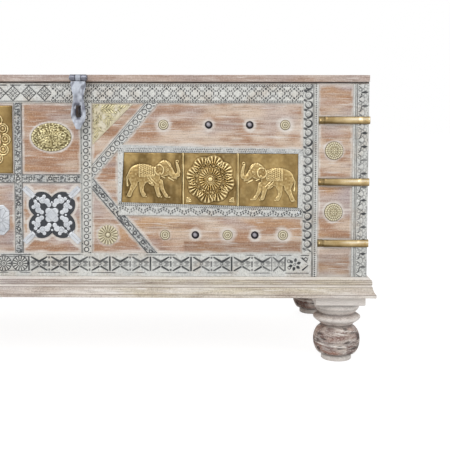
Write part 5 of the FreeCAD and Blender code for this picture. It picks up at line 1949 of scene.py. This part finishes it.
@dataclass
class Ornaments(SubAssembly):
    """Medallions, four-lobed plates, corner pieces, daisies and bosses."""

    oval_halves: Point = (30.9, 21.9)
    arm: Point = (4.5, 44.6)
    daisy: tuple[float, float, float] = (199.0, 203.7, 16.2)
    boss_x: float = 547.7
    boss_levels: Point = (334.9, 239.9)
    boss_radius: float = 14.0

    def oval_reach(self, turn: Array) -> Array:
        """Outline of the oval medallion."""
        half_u, half_v = self.oval_halves
        return 1.0 / np.hypot(np.cos(turn) / half_u, np.sin(turn) / half_v)

    def oval(self, u: Array, v: Array, share: Array) -> Layers:
        """Granular flower work on a low dome.

        Args:
            u: places to the right.
            v: places up.
            share: share of the way out to the outline.

        Returns:
            The relief and its layers.
        """
        a, b = u / 31.0 * 22.0, v
        far, turn = polar(a, b)
        work = most(
            0.7 * beads(far, turn, 20.4, 38, 1.4) * (0.4 + 0.9 * cloud(a, b, 6.0, 110)),
            fan(a, b, (0.0, -1.0), 90.0, 17.5, 7, 100.0), fan(a, b, (0.0, 1.0), -90.0, 17.5, 7, 120.0),
        )
        for place, spread in ((-9.2, 8), (8.8, 7)):
            rose, rose_turn = polar(a - place, b - 1.6)
            petal = petalled(rose_turn, spread, 0.2)
            work = most(work, petal * held((6.6 - rose) / 1.2) * (rose > 1.8), dome(rose - 1.5, 1.5),
                        0.8 * line(rose - 7.2, 0.8))
        grain = held((cloud(a, b, 1.5, 111) - 0.35) * 2.2)
        work = 0.62 * work * (0.45 + 0.9 * cloud(a, b, 5.0, 112)) + 0.50 * grain
        rise = 2.4 * np.sqrt(held(1.0 - share ** 2)) + 1.3 * work
        return {"rise": rise, "ink": np.clip(0.90 - 1.0 * work, 0.0, 0.72), "wash": np.full_like(u, 0.06)}

    def fret_reach(self, turn: Array) -> Array:
        """Outline of four lobes and four diagonal arms.

        Args:
            turn: angles about the centre.

        Returns:
            How far the outline lies from the centre.
        """
        fold = np.abs(row(turn, math.pi / 4, math.pi / 2))
        offset, radius = FRET_LOBE
        centre = offset * math.sqrt(2.0)
        sine = centre * np.sin(fold)
        lobes = centre * np.cos(fold) + np.sqrt(np.clip(radius ** 2 - sine ** 2, 0.0, None))
        half, tip = self.arm
        sides = half / np.clip(np.sin(fold), WELD, None)
        arms = np.minimum(sides, (tip * 2 - half * 0.8) / math.sqrt(2.0) / np.cos(fold))
        return np.maximum(lobes, arms)

    def palmettes(self, u: Array, v: Array, share: Array) -> Layers:
        """Silvered palmettes over a black ground, with silver arms.

        Args:
            u: places to the right.
            v: places up.
            share: share of the way out to the outline.

        Returns:
            The relief and its layers.
        """
        p, q = np.abs(u), np.abs(v)
        discs = ((14.5, 23.0, 5.0), (23.0, 14.5, 5.0), (7.6, 21.0, 4.6), (21.0, 7.6, 4.6), (25.6, 21.0, 2.6),
                 (21.0, 25.6, 2.6), (5.0, 6.0, 5.0), (16.0, 4.4, 3.6), (4.4, 16.0, 3.6), (28.6, 12.0, 2.8),
                 (12.0, 28.6, 2.8))
        shape = np.minimum.reduce([np.hypot(p - a, q - b) - r for a, b, r in discs])
        shape = np.minimum(shape, (p + q - 10.5) * 0.707)
        shape = np.minimum(shape, np.where(p + q > 58.0, -1.0, 9.0))
        arm = np.where(p + q > 56.0, np.abs(p - q) * 0.707 - 3.2, 9.0)
        shape = np.minimum(shape, arm)
        light = held(-shape / 0.7 + 0.5)
        veins = most(
            line(np.hypot(p - 12.0, q - 12.0) - 5.2, 0.7), line(p - q, 0.7) * (p + q > 60.0),
            line(p + q - 9.0, 0.7), line(np.hypot(p - 23.0, q - 14.5) - 3.0, 0.6),
            line(np.hypot(p - 14.5, q - 23.0) - 3.0, 0.6),
        )
        ink = held(1.0 - light + 0.5 * veins)
        return {"rise": 0.9 * light * (0.8 + 0.2 * cloud(u, v, 7.0, 113)), "ink": ink * 0.98}

    def petals(self, u: Array, v: Array, share: Array) -> Layers:
        """A daisy of eighteen rounded petals.

        Args:
            u: places to the right.
            v: places up.
            share: share of the way out to the outline.

        Returns:
            The relief and its layers.
        """
        far, turn = polar(u, v)
        petal = petalled(turn, 18)
        ring = held((far - 4.5) / 3.0)
        tip = np.sqrt(held(1.0 - share ** 6))
        rise = most(2.6 * dome(far - 3.4, 3.4), (0.7 + 1.5 * petal * tip) * ring)
        ink = np.clip(1.3 * (0.60 - petal) * ring + 0.5 * line(far - 4.2, 1.2), 0.0, 0.75)
        return {"rise": rise, "ink": ink, "wash": np.full_like(far, 0.60)}

    def petal_reach(self, turn: Array) -> Array:
        """Outline of the daisy, notched between its petals."""
        return self.daisy[2] - 1.8 * np.sin(row(turn, 0.0, math.tau / 18) * 9.0) ** 2

    def boss_reach(self, turn: Array) -> Array:
        """Outline of the round boss."""
        return np.full_like(turn, self.boss_radius)

    def granules(self, u: Array, v: Array, share: Array) -> Layers:
        """A domed boss with rings of granules round a small flower.

        Args:
            u: places to the right.
            v: places up.
            share: share of the way out to the outline.

        Returns:
            The relief and its layers.
        """
        far, turn = polar(u, v)
        petal = petalled(turn, 8)
        work = most(
            beads(far, turn, 11.9, 24, 1.5), beads(far, turn, 8.6, 18, 1.4), 0.7 * line(far - 6.4, 0.8),
            petal * held((5.4 - far) / 1.5) * (far > 1.8), dome(far - 1.6, 1.6),
        )
        work = work * (0.55 + 0.9 * cloud(u, v, 4.0, 113))
        rise = 3.0 * np.sqrt(held(1.0 - share ** 2)) + 1.0 * work
        return {"rise": rise, "ink": np.clip(0.7 - 1.2 * work, 0.0, 0.6), "wash": 0.40 + 0.30 * work}

    def foliage(self, x: Array, z: Array) -> Layers:
        """Engraved leaves that spread from the upper corner.

        Args:
            x: places across.
            z: heights.

        Returns:
            The relief and its layers.
        """
        u, v = x - 176.0, z - 343.0
        slope = (u - v) * 0.707
        leaves = np.zeros_like(u)
        for start, end, reach in (((4.0, 56.0), (60.0, 54.0), 6.5), ((8.0, 60.0), (8.5, 6.0), 5.5),
                                  ((5.0, 58.0), (30.0, 34.0), 8.0)):
            run = math.hypot(end[0] - start[0], end[1] - start[1])
            ahead = ((end[0] - start[0]) / run, (end[1] - start[1]) / run)
            along, across = slanted(u, v, start, ahead)
            across = np.abs(across)
            blades = line(row(along - 0.9 * across, 0.0, 4.6), 2.4) * (across < reach) * (across > 0.8)
            leaves = most(leaves, most(blades, line(across, 1.2)) * (along > 0.0) * (along < run))
        leaves = leaves * (slope < -3.6) * held(2.4 * cloud(u, v, 6.0, 116) - 0.35)
        rim = line(np.minimum(np.minimum(u, 63.0 - v), -slope) - 1.6, 0.9)
        curls = line(cloud(u, v, 4.5, 118) - 0.5, 0.16) * (slope < -2.0)
        cuts = held((cloud(x, z, 2.4, 117) - 0.40) * 4.0)
        ink = np.clip(leaves * (0.25 + 0.75 * cuts) + 0.45 * rim + 0.9 * curls * cuts, 0.0, 0.85)
        return {
            "rise": 0.9 * leaves + 0.3 * cloud(x, z, 8.0, 114) - 0.3 * curls, "ink": ink,
            "wash": held(1.0 - 0.9 * leaves) * (0.50 + 0.5 * cloud(x, z, 12.0, 115)),
        }

    def pair(self, piece: Piece, name: str) -> Piece:
        """Join a piece with its mirror image."""
        return joined(name, [piece, mirrored(piece, f"{name}_twin")])

    def build(self) -> None:
        """Make the ornaments."""
        chest, gold = Body.CHEST, self.finishes.old_gold
        levels = (BOARD_FACE - 0.4, SHEET_BACK)
        oval = round_sheet("oval", self.oval_reach, self.oval, OVAL_PLACE, levels, (150, 40))
        dress(self.pair(oval, "flowered_medallions"), chest, Slot.BRASS_FITTING, gold, "oval_medallions")
        fret = round_sheet(
            "fret", self.fret_reach, self.palmettes, FRET_PLACE, (SHEET_FACE, SHEET_BACK), (480, 56)
        )
        fret = self.pair(fret, "palmette_plates")
        dress(fret, chest, Slot.SILVERED_METAL, self.finishes.silver, "fret_plates")
        daisy = round_sheet("daisy", self.petal_reach, self.petals, self.daisy[:2], levels, (200, 22))
        dress(self.pair(daisy, "petalled_daisies"), chest, Slot.SILVERED_METAL, gold, "daisy_rosettes")
        bosses = [
            round_sheet(
                f"boss_{level:.0f}", self.boss_reach, self.granules, (self.boss_x, level), levels, (150, 24)
            )
            for level in self.boss_levels
        ]
        bosses = self.pair(joined("boss", bosses), "granulated_bosses")
        dress(bosses, chest, Slot.SILVERED_METAL, gold, "round_bosses")
        gusset = worked_sheet(
            "gusset", ((176.0, 343.0), (176.0, 406.0)), ((176.0, 343.0), (239.0, 406.0)), self.foliage,
            SHEET_FACE, SHEET_BACK, 0.7, 0.45,
        )
        dress(self.pair(gusset, "leafy_gussets"), chest, Slot.BRASS_FITTING, gold, "corner_gussets")


@dataclass
class Nails(SubAssembly):
    """Ring studs and dome nails of the long fields."""

    stud_places: tuple[Point, ...] = (
        (285.2, 374.1), (472.3, 374.1), (287.6, 203.9), (384.5, 203.9), (470.1, 203.9)
    )
    nail_places: tuple[Point, ...] = ((354.9, 374.1), (417.9, 374.1), (334.6, 203.9), (426.6, 203.9))
    stud_radius: float = 7.8
    ring_pitch: float = 2.95
    nail: tuple[Point, ...] = (
        (0.0, -0.1), (5.8, -0.1), (6.0, 0.2), (5.6, 1.0), (4.7, 1.8), (3.4, 2.5), (1.8, 2.9), (0.0, 3.0),
    )

    def crest(self, far: Array) -> Array:
        """Height of the stud's rings at a distance from its middle, from 0 to 1."""
        return 0.5 + 0.5 * np.cos(math.tau * far / self.ring_pitch)

    def spread(self, model: Piece, name: str, places: Edge) -> Piece:
        """Copy a nail to its places on both sides and join the copies.

        Args:
            model: the nail.
            name: its name.
            places: X and Z of its places on the right half.

        Returns:
            The joined copies.
        """
        copies = [
            copied(model, f"{name}_{number}", (sign * x, BOARD_FACE, z))
            for number, (x, z, sign) in enumerate((x, z, sign) for x, z in places for sign in (-1.0, 1.0))
        ]
        bpy.data.objects.remove(model)
        return joined(name, copies)

    def build(self) -> None:
        """Make the nails."""
        edge = self.stud_radius
        radii = np.linspace(edge - 0.2, 0.0, 28)
        face = [
            (float(r), float(0.5 + 0.5 * h + 0.09 * (edge - r))) for r, h in zip(radii, self.crest(radii))
        ]
        stud = turned("stud", ((0.0, -0.1), (edge, -0.1), (edge, 0.3), *face), 40, (0.0, 0.0, 0.0), "Y")
        points = points_of(stud)
        crest = self.crest(np.hypot(points[:, 0], points[:, 2]))
        carry(stud, "wash", 0.35 + 0.4 * crest)
        carry(stud, "ink", np.clip(1.25 - 2.2 * crest, 0.0, 0.95))
        studs = self.spread(smooth(stud, 60.0), "turned_studs", self.stud_places)
        dress(studs, Body.CHEST, Slot.BRASS_FITTING, self.finishes.old_gold, "ring_studs")
        nail = smooth(turned("nail", self.nail, 32, (0.0, 0.0, 0.0), "Y"), 60.0)
        points = points_of(nail)
        # Painted highlight towards the upper left of the dome, and painted shade on its rim
        far = np.hypot(points[:, 0] + 0.5, points[:, 2] - 0.5)
        carry(nail, "shine", np.clip(1.6 - far / 2.1, 0.0, 0.7))
        carry(nail, "ink", np.clip((far - 2.4) / 1.2, 0.0, 0.8))
        nails = self.spread(nail, "domed_iron_nails", self.nail_places)
        dress(nails, Body.CHEST, Slot.IRON_FITTING, self.finishes.dark_iron, "dome_nails")


@dataclass
class Straps(SubAssembly):
    """Polished brass straps that hold the corners."""

    half_width: float = STRAP_HALF
    thickness: float = 1.9
    bulge: float = 1.9
    path: tuple[Point, ...] = (
        (523.4, -198.3), (529.6, -198.3), (533.8, -201.2), (600.4, -201.2), (601.6, -200.6),
        (601.9, -199.4), (601.9, -122.5),
    )
    cells: tuple[int, int] = (120, 12)

    def build(self) -> None:
        """Make one strap, copy it to its levels and mirror them."""
        obj, s, t = grid("strap", *self.cells)
        path = np.array(self.path)
        length = run_lengths(path).sum()
        x, y = along_path(path, s).T
        # Outwards is square to the path's run just here
        run_x, run_y = (along_path(path, held(s + 0.008)) - along_path(path, held(s - 0.008))).T
        run = np.hypot(run_x, run_y)
        share = 2.0 * t - 1.0
        far = s * length
        nails = held((np.abs(x - 596.2) + 2.0 * np.abs(y + 201.2) - 6.0) / 6.0)
        nails = np.minimum(nails, held((np.minimum(far, length - far) - 7.5) / 6.0))
        swell = self.bulge * np.sqrt(held(1.0 - share ** 2)) * nails * np.where(x > 601.0, 0.25, 1.0)
        x, y = x + swell * run_y / run, y - swell * run_x / run
        z = share * self.half_width
        z = z + 0.25 * drift(s * 150.0, t * 0.0, (20.0, 9.0), 121)
        move_points(obj, np.stack([x, y, z], axis=1))
        # Painted shade and reflection: a dark line along the top rim, the lower half darker and the left end
        # darker; the glint is a painted highlight along the upper part
        rim = most(0.85 * held((-share - 0.15) / 0.75), 0.7 * held((share - 0.70) / 0.25))
        left_end = 0.62 * held(1.2 - far / 38.0)
        carry(obj, "ink", np.clip(rim + left_end * (0.6 + 0.6 * cloud(far, z, (9.0, 3.0), 122)), 0.0, 0.9))
        glint = held(1.0 - np.abs(share - 0.30) / 0.40) * held((far - 32.0) / 20.0)
        carry(obj, "shine", 0.85 * glint * (0.5 + 0.7 * cloud(far, z, (14.0, 4.0), 123)))
        smooth(thickened(obj, self.thickness), 55.0)
        straps = [copied(obj, f"strap_{level:.0f}", (0.0, 0.0, level)) for level in STRAP_LEVELS]
        bpy.data.objects.remove(obj)
        right = joined("bulged_straps_right", straps)
        left = mirrored(right, "bulged_straps_left")
        for side, piece in (("right", right), ("left", left)):
            dress(piece, Body.CHEST, Slot.BRASS_FITTING, self.finishes.polished_brass, f"brass_straps_{side}")


@dataclass
class Hasps(SubAssembly):
    """Two hammered iron hasps that hang from the lid's front edge."""

    place_x: float = 157.5
    pivot: Point = (-212.6, 445.0)
    outline: tuple[Point, ...] = (
        (5.6, 10.6), (7.4, 11.5), (13.3, 11.3), (20.5, 9.4), (28.0, 7.8), (36.0, 8.2), (44.0, 10.0),
        (53.8, 11.6), (60.8, 10.9), (67.0, 8.2), (73.0, 5.2), (77.9, 3.0),
    )
    slot_half: float = 3.85
    slot_drops: Point = (41.8, 60.0)
    bend_drop: float = 60.8
    bend: float = 3.5
    thickness: float = 2.4
    knuckle: Point = (5.0, 9.6)
    cells: tuple[int, int] = (24, 72)

    def leaf(self) -> Piece:
        """Make the hanging leaf with its slot.

        Returns:
            The leaf.
        """
        obj, s, t = grid("hasp_leaf", *self.cells)
        table = np.array(self.outline)
        drop = table[0, 0] + (table[-1, 0] - table[0, 0]) * (1.0 - t)
        half = np.interp(drop, table[:, 0], table[:, 1])
        share = 2.0 * s - 1.0
        inner = np.minimum(self.slot_half, half * 0.42)
        # The grid's middle third is as wide as the slot
        x = np.where(np.abs(share) < 0.334, share * 3.0 * inner,
                     np.sign(share) * (inner + (half - inner) * (np.abs(share) - 1 / 3) * 1.5))
        bend = held((drop - self.bend_drop) / (table[-1, 0] - self.bend_drop)) * self.bend
        hammer = 0.5 * cloud(x, drop, (4.5, 5.5), 131) + 0.5 * held(1.0 - np.abs(x) / half)
        y = self.pivot[0] - self.thickness / 2 - bend - hammer + 0.5
        move_points(obj, np.stack([x, y, self.pivot[1] - drop], axis=1))
        # Painted highlight: the top of the leaf, its tip and its left edge are paler, and go into the wash
        # with real pale patches
        light = held(1.0 - (drop - 14.0) / 22.0) * 0.80 + 0.45 * (drop > 64.0)
        light = most(light, 0.7 * held((-share - 0.55) / 0.3) * (drop > 24.0))
        blotch = cloud(x + 0.5 * drop, drop - 0.5 * x, (4.0, 12.0), 132)
        light = light * np.clip(2.8 * blotch - 0.4, 0.10, 1.2)
        # Painted shade round the slot; the pits below are the iron's own
        slot_edge = held(1.0 - (np.abs(x) - self.slot_half) / 3.0) * (drop > 38.0) * (drop < 62.0)
        patch = 2.4 * np.clip(cloud(x, drop, (4.0, 5.0), 134) - 0.50, 0.0, 0.4)
        carry(obj, "wash", np.clip(most(light, patch), 0.0, 0.85))
        pits = 1.5 * held(cloud(x, drop, (3.6, 7.0), 133) - 0.50)
        carry(obj, "ink", np.clip(0.45 * slot_edge + pits, 0.0, 0.8))
        low, high = (self.pivot[1] - drop_at for drop_at in reversed(self.slot_drops))
        pick(
            obj, "FACE",
            lambda m: (np.abs(m[:, 0]) < self.slot_half - 0.1) & (m[:, 2] > low) & (m[:, 2] < high)
        )
        in_edit(obj, lambda: bpy.ops.mesh.delete(type="FACE"), everything=False)
        return thickened(obj, self.thickness)

    def build(self) -> None:
        """Make one hasp and copy it to both sides."""
        radius, width = self.knuckle
        options = {"vertices": 40, "radius": radius * MM, "depth": width * MM}
        knuckle = primitive("hasp_knuckle", bpy.ops.mesh.primitive_cylinder_add, **options)
        points = points_of(knuckle)[:, (2, 1, 0)] * (1.0, 1.0, -1.0)
        move_points(knuckle, points + (0.0, self.pivot[0], self.pivot[1]))
        bevelled(knuckle, 0.7, 3)
        sliced(knuckle, 0, (-width / 4, width / 4))
        carry(knuckle, "wash", 0.55 * (np.abs(points_of(knuckle)[:, 0]) < 0.3 * width))
        stem = block("hasp_stem", (-width / 2, self.pivot[0] - 1.2, self.pivot[1] - 7.4),
                     (width / 2, self.pivot[0] + 1.2, self.pivot[1] - 2.0), (2, 1, 2))
        model = smooth(joined("hasp_model", [self.leaf(), knuckle, stem]), 48.0)
        for side, sign, body in (("left", -1.0, Body.HASP_LEFT), ("right", 1.0, Body.HASP_RIGHT)):
            piece = copied(model, f"hammered_hasp_{side}", (sign * self.place_x, 0.0, 0.0))
            dress(piece, body, Slot.IRON_FITTING, self.finishes.iron, f"hasp_{side}")
        bpy.data.objects.remove(model)


@dataclass
class Boards(SubAssembly):
    """The lid, the other boards and the plinth, with worn edges."""

    wear: float = 1.1
    light_wear: float = 0.6
    spacing: float = 24.0

    def build(self) -> None:
        """Make each board from its solid."""
        lid = worn_copy("lid_board", "lid_planks", self.wear, {0: self.spacing})
        points = points_of(lid)
        front = held((-196.0 - points[:, 1]) / 6.0)
        points[:, 1] += front * 0.7 * cloud(points[:, 0], points[:, 2], (42.0, 300.0), 4)
        move_points(lid, points)
        dress(lid, Body.LID, Slot.AGED_WOOD, self.finishes.lid, "lid_board")
        chest = (Body.CHEST, Slot.AGED_WOOD)
        for node in ("back_board", "floor_board", "floor_battens", "corner_blocks"):
            dress(worn_copy(node, f"worn_{node}", self.light_wear), *chest, self.finishes.plank, node)
        for node in ("side_board_left", "side_board_right"):
            dress(worn_copy(node, f"worn_{node}", self.light_wear), *chest, self.finishes.side_plank, node)
        cleats = worn_copy("lid_cleats", "worn_lid_cleats", self.light_wear)
        dress(cleats, Body.LID, Slot.AGED_WOOD, self.finishes.side_plank, "lid_cleats")
        for side in ("front", "back", "left", "right"):
            long_side = side in ("front", "back")
            cuts = {0 if long_side else 1: self.spacing}
            piece = worn_copy(f"plinth_{side}", f"moulded_plinth_{side}", self.light_wear, cuts)
            points = points_of(piece)
            run = points[:, 0] if long_side else points[:, 1]
            out = {"front": (1, 1.0), "back": (1, -1.0), "left": (0, 1.0), "right": (0, -1.0)}[side]
            points[:, out[0]] += out[1] * 0.35 * cloud(run, points[:, 2], (55.0, 14.0), 6)
            move_points(piece, points)
            material = self.finishes.plinth if long_side else self.finishes.side_plinth
            dress(piece, Body.CHEST, Slot.PLINTH_WOOD, material, f"plinth_{side}")


@dataclass
class Feet(SubAssembly):
    """Four turned feet with a square block at the top."""

    places: tuple[tuple[str, float, float], ...] = (
        ("foot_front_left", -560.8, -157.2), ("foot_front_right", 560.8, -157.2),
        ("foot_rear_left", -560.8, 164.4), ("foot_rear_right", 560.8, 164.4),
    )
    block_half: float = 39.2
    block_low: float = 93.0
    block_high: float = 108.0
    pad: tuple[Point, ...] = ((0.0, 0.0), (22.6, 0.0), (23.9, 1.2), (23.9, 6.5), (22.6, 9.2), (21.8, 10.4))
    ball_radius: float = 37.1
    core_radius: float = 22.6
    ball_level: float = 32.0
    ball_halves: Point = (24.0, 22.6)
    ball_low: float = 11.4
    ball_high: float = 53.4
    neck: tuple[Point, ...] = ((24.4, 54.6), (24.8, 57.0), (27.2, 58.6), (28.0, 60.0), (33.4, 63.4))
    ring: tuple[Point, ...] = ((36.6, 66.4), (37.6, 68.0), (37.4, 70.2), (34.0, 72.6), (30.0, 74.2))
    cup: tuple[Point, ...] = (
        (28.8, 75.4), (29.6, 77.4), (32.4, 80.2), (34.8, 83.2), (36.0, 86.6), (36.3, 93.0), (0.0, 93.0)
    )
    # Painted shade in the turning's grooves and under the block: level, reach and strength of each dark band
    groove_shades: tuple[tuple[float, float, float], ...] = (
        (10.6, 1.6, 0.7), (56.5, 2.4, 0.6), (75.0, 1.4, 0.55), (92.4, 1.2, 0.6), (64.0, 1.2, 0.3),
        (32.0, 0.8, 0.5), (69.0, 0.7, 0.25), (83.0, 0.7, 0.3),
    )
    sides: int = 96

    def profile(self) -> list[Point]:
        """Give the turned outline from the floor up.

        Returns:
            Radius and level of each point.
        """
        ball = []
        for level in np.linspace(self.ball_low, self.ball_high, 43):
            below, above = self.ball_halves
            rise = (level - self.ball_level) / (above if level > self.ball_level else below)
            swell = math.sqrt(max(0.0, 1.0 - rise * rise))
            ball.append((self.core_radius + (self.ball_radius - self.core_radius) * swell, float(level)))
        middle = len(ball) // 2
        radius, level = ball[middle]
        ball[middle:middle + 1] = [(radius, level - 0.9), (radius - 0.8, level), (radius, level + 0.9)]
        return [*self.pad, *ball, *self.neck, *self.ring, *self.cup]

    def wash(self, level: Array) -> Array:
        """Give the share of white paint at each level: most on the block, least on the ball.

        Args:
            level: heights above the floor.

        Returns:
            The share of paint.
        """
        levels = (0.0, 8.0, 14.0, 26.0, 31.0, 33.0, 40.0, 52.0, 60.0, 67.0, 73.0, 80.0, 90.0, 94.0, 108.0)
        shares = (0.9, 0.8, 0.1, 0.0, 0.3, 0.2, 0.0, 0.15, 0.3, 0.8, 0.3, 0.75, 0.7, 1.0, 1.0)
        return np.interp(level, levels, shares)

    def build(self) -> None:
        """Make one foot and copy it to the four corners."""
        foot = turned("turning", self.profile(), self.sides, (0.0, 0.0, 0.0))
        smooth(foot, 50.0)
        half = self.block_half
        top = bevelled(
            block("top", (-half, -half, self.block_low), (half, half, self.block_high), (4, 4, 2)), 2.0, 3
        )
        model = joined("foot_model", [foot, smooth(top)])
        points = points_of(model)
        level = points[:, 2]
        run = np.arctan2(points[:, 0], -points[:, 1]) * self.ball_radius
        ball = (level > 12.0) & (level < 54.0)
        patches = 5.4 * drift(run, level, (19.0, 10.0), 141) + 1.8 * drift(run, level, (22.0, 3.0), 142)
        scratches = held((cloud(run, level + 0.12 * run, (34.0, 1.8), 143) - 0.74) * 7.0)
        burns = held((cloud(run, level - 0.1 * run, (13.0, 4.0), 144) - 0.62) * 5.0)
        carry(model, "wash", self.wash(level) + 1.0 * scratches * ball)
        carry(model, "warmth", np.where(ball, patches - 0.15, 0.2 * patches - 0.5))
        # Painted shade darkens each groove; the burns are dark stains on the ball
        groove_shades = [share * held(1.4 - np.abs(level - place) / reach) for place, reach, share in self.groove_shades]
        carry(model, "ink", most(*groove_shades, 0.70 * burns * ball * (1.0 - scratches)))
        for name, x, y in self.places:
            piece = copied(model, f"turned_{name}", (x, y, 0.0))
            dress(piece, Body.CHEST, Slot.FOOT_WOOD, self.finishes.foot, name)
        bpy.data.objects.remove(model)


def show_solids(nodes: dict[str, Piece], finishes: Finishes) -> None:
    """Give every solid that still shows a finish of its own kind.

    Args:
        nodes: the solids, by name.
        finishes: the chest's materials.
    """
    by_word = {
        "small_nail": finishes.silver, "strap": finishes.polished_brass, "staple": finishes.dark_iron,
        "hinge": finishes.iron, "hasp": finishes.iron,
    }
    for name, obj in nodes.items():
        if not obj.hide_render:
            obj.data.materials.clear()
            obj.data.materials.append(next(by_word[word] for word in by_word if word in name))


@dataclass
class Studio:
    """Pale floor, soft light and the camera."""

    eye: tuple[float, float, float] = (359.1, -1438.6, 375.4)
    turn_left: float = 0.449
    tilt_down: float = 3.967
    roll: float = 0.104
    lens: float = 64.58
    shift: Point = (0.0444, -0.1)
    floor_half: float = 30000.0
    aim: tuple[float, float, float] = (0.0, 0.0, 250.0)
    white: tuple[float, ...] = (1.0, 1.0, 1.0, 1.0)
    surround: float = 0.48
    floor_share: float = 0.75
    floor_glow: float = 1.22
    lamps: tuple[tuple[str, tuple[float, float, float], float, float], ...] = (
        ("key_light", (-900.0, -2600.0, 2300.0), 1900.0, 52.0),
        ("fill_light", (2300.0, -1800.0, 1300.0), 1800.0, 16.0),
        ("rear_light", (400.0, 2600.0, 1900.0), 1900.0, 26.0),
    )

    def build(self) -> None:
        """Set everything that isn't part of the chest."""
        self.world()
        self.floor()
        for lamp in self.lamps:
            self.lamp(*lamp)
        self.camera()

    def world(self) -> None:
        """Make a soft white surround that metal and glass show at full white."""
        graph = Graph(bpy.data.worlds.new("studio"))
        bpy.context.scene.world = graph.owner
        strength = self.surround + self.seen(graph) * (1.0 - self.surround)
        light = graph.node("ShaderNodeBackground", {}, {"Color": self.white, "Strength": strength})
        graph.node("ShaderNodeOutputWorld", {}, {"Surface": light.outputs[0]})

    def seen(self, graph: Graph) -> Wave:
        """Tell the camera, mirror and glass rays, as 1, from those that only light things.

        Args:
            graph: the tree to add to.

        Returns:
            1 where such a ray arrives.
        """
        path = graph.node("ShaderNodeLightPath").outputs
        camera, mirror = path["Is Camera Ray"], path["Is Glossy Ray"]
        direct = Wave(graph, camera).maths("MAXIMUM", camera, mirror)
        return direct.maths("MAXIMUM", direct, path["Is Transmission Ray"])

    def floor(self) -> None:
        """Lay a white floor that keeps a faint shadow."""
        obj = primitive("studio_floor", bpy.ops.mesh.primitive_plane_add, size=2 * self.floor_half * MM)
        graph = Graph(bpy.data.materials.new("studio_white"))
        matt = graph.node("ShaderNodeBsdfDiffuse", {}, {"Color": (0.9, 0.9, 0.9, 1.0)})
        glow = graph.node("ShaderNodeEmission", {}, {"Color": self.white, "Strength": self.floor_glow})
        inputs = {0: self.seen(graph) * self.floor_share, 1: matt.outputs[0], 2: glow.outputs[0]}
        both = graph.node("ShaderNodeMixShader", {}, inputs)
        graph.node("ShaderNodeOutputMaterial", {}, {"Surface": both.outputs[0]})
        obj.data.materials.append(graph.owner)

    def lamp(self, name: str, place: Place, size: float, power: float) -> None:
        """Hang a square soft light that points at the chest's middle.

        Args:
            name: its name.
            place: where it hangs.
            size: its side.
            power: its power in watts.
        """
        data = bpy.data.lights.new(name, "AREA")
        data.energy = power
        data.size = size * MM
        lamp = bpy.data.objects.new(name, data)
        bpy.context.scene.collection.objects.link(lamp)
        lamp.location = Vector(place) * MM
        lamp.rotation_euler = (Vector(self.aim) * MM - lamp.location).to_track_quat("-Z", "Y").to_euler()

    def camera(self) -> None:
        """Stand the camera where the photographer stood."""
        data = bpy.data.cameras.new("camera")
        data.lens = self.lens
        data.shift_x, data.shift_y = self.shift
        data.clip_end = 200.0
        camera = bpy.data.objects.new("camera", data)
        bpy.context.scene.collection.objects.link(camera)
        turn = Matrix.Rotation(math.radians(self.turn_left), 4, "Z")
        tilt = Matrix.Rotation(math.radians(90.0 - self.tilt_down), 4, "X")
        roll = Matrix.Rotation(math.radians(self.roll), 4, "Z")
        camera.matrix_world = Matrix.Translation(Vector(self.eye) * MM) @ turn @ tilt @ roll
        bpy.context.scene.camera = camera


def main() -> None:
    """Dress the chest, piece by piece."""
    logging.basicConfig(level=logging.INFO, format="%(message)s")
    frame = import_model()
    bpy.context.scene.view_settings.view_transform = "Standard"
    finishes = Finishes()
    groups = (
        Boards, FrontBoard, CarvedStrips, TileRows, MiddlePlates, Ornaments, Nails, Straps, Hasps, Feet,
    )
    for group in groups:
        group(finishes).build()
    show_solids(frame["nodes"], finishes)
    Studio().build()


if __name__ == "__main__":
    main()
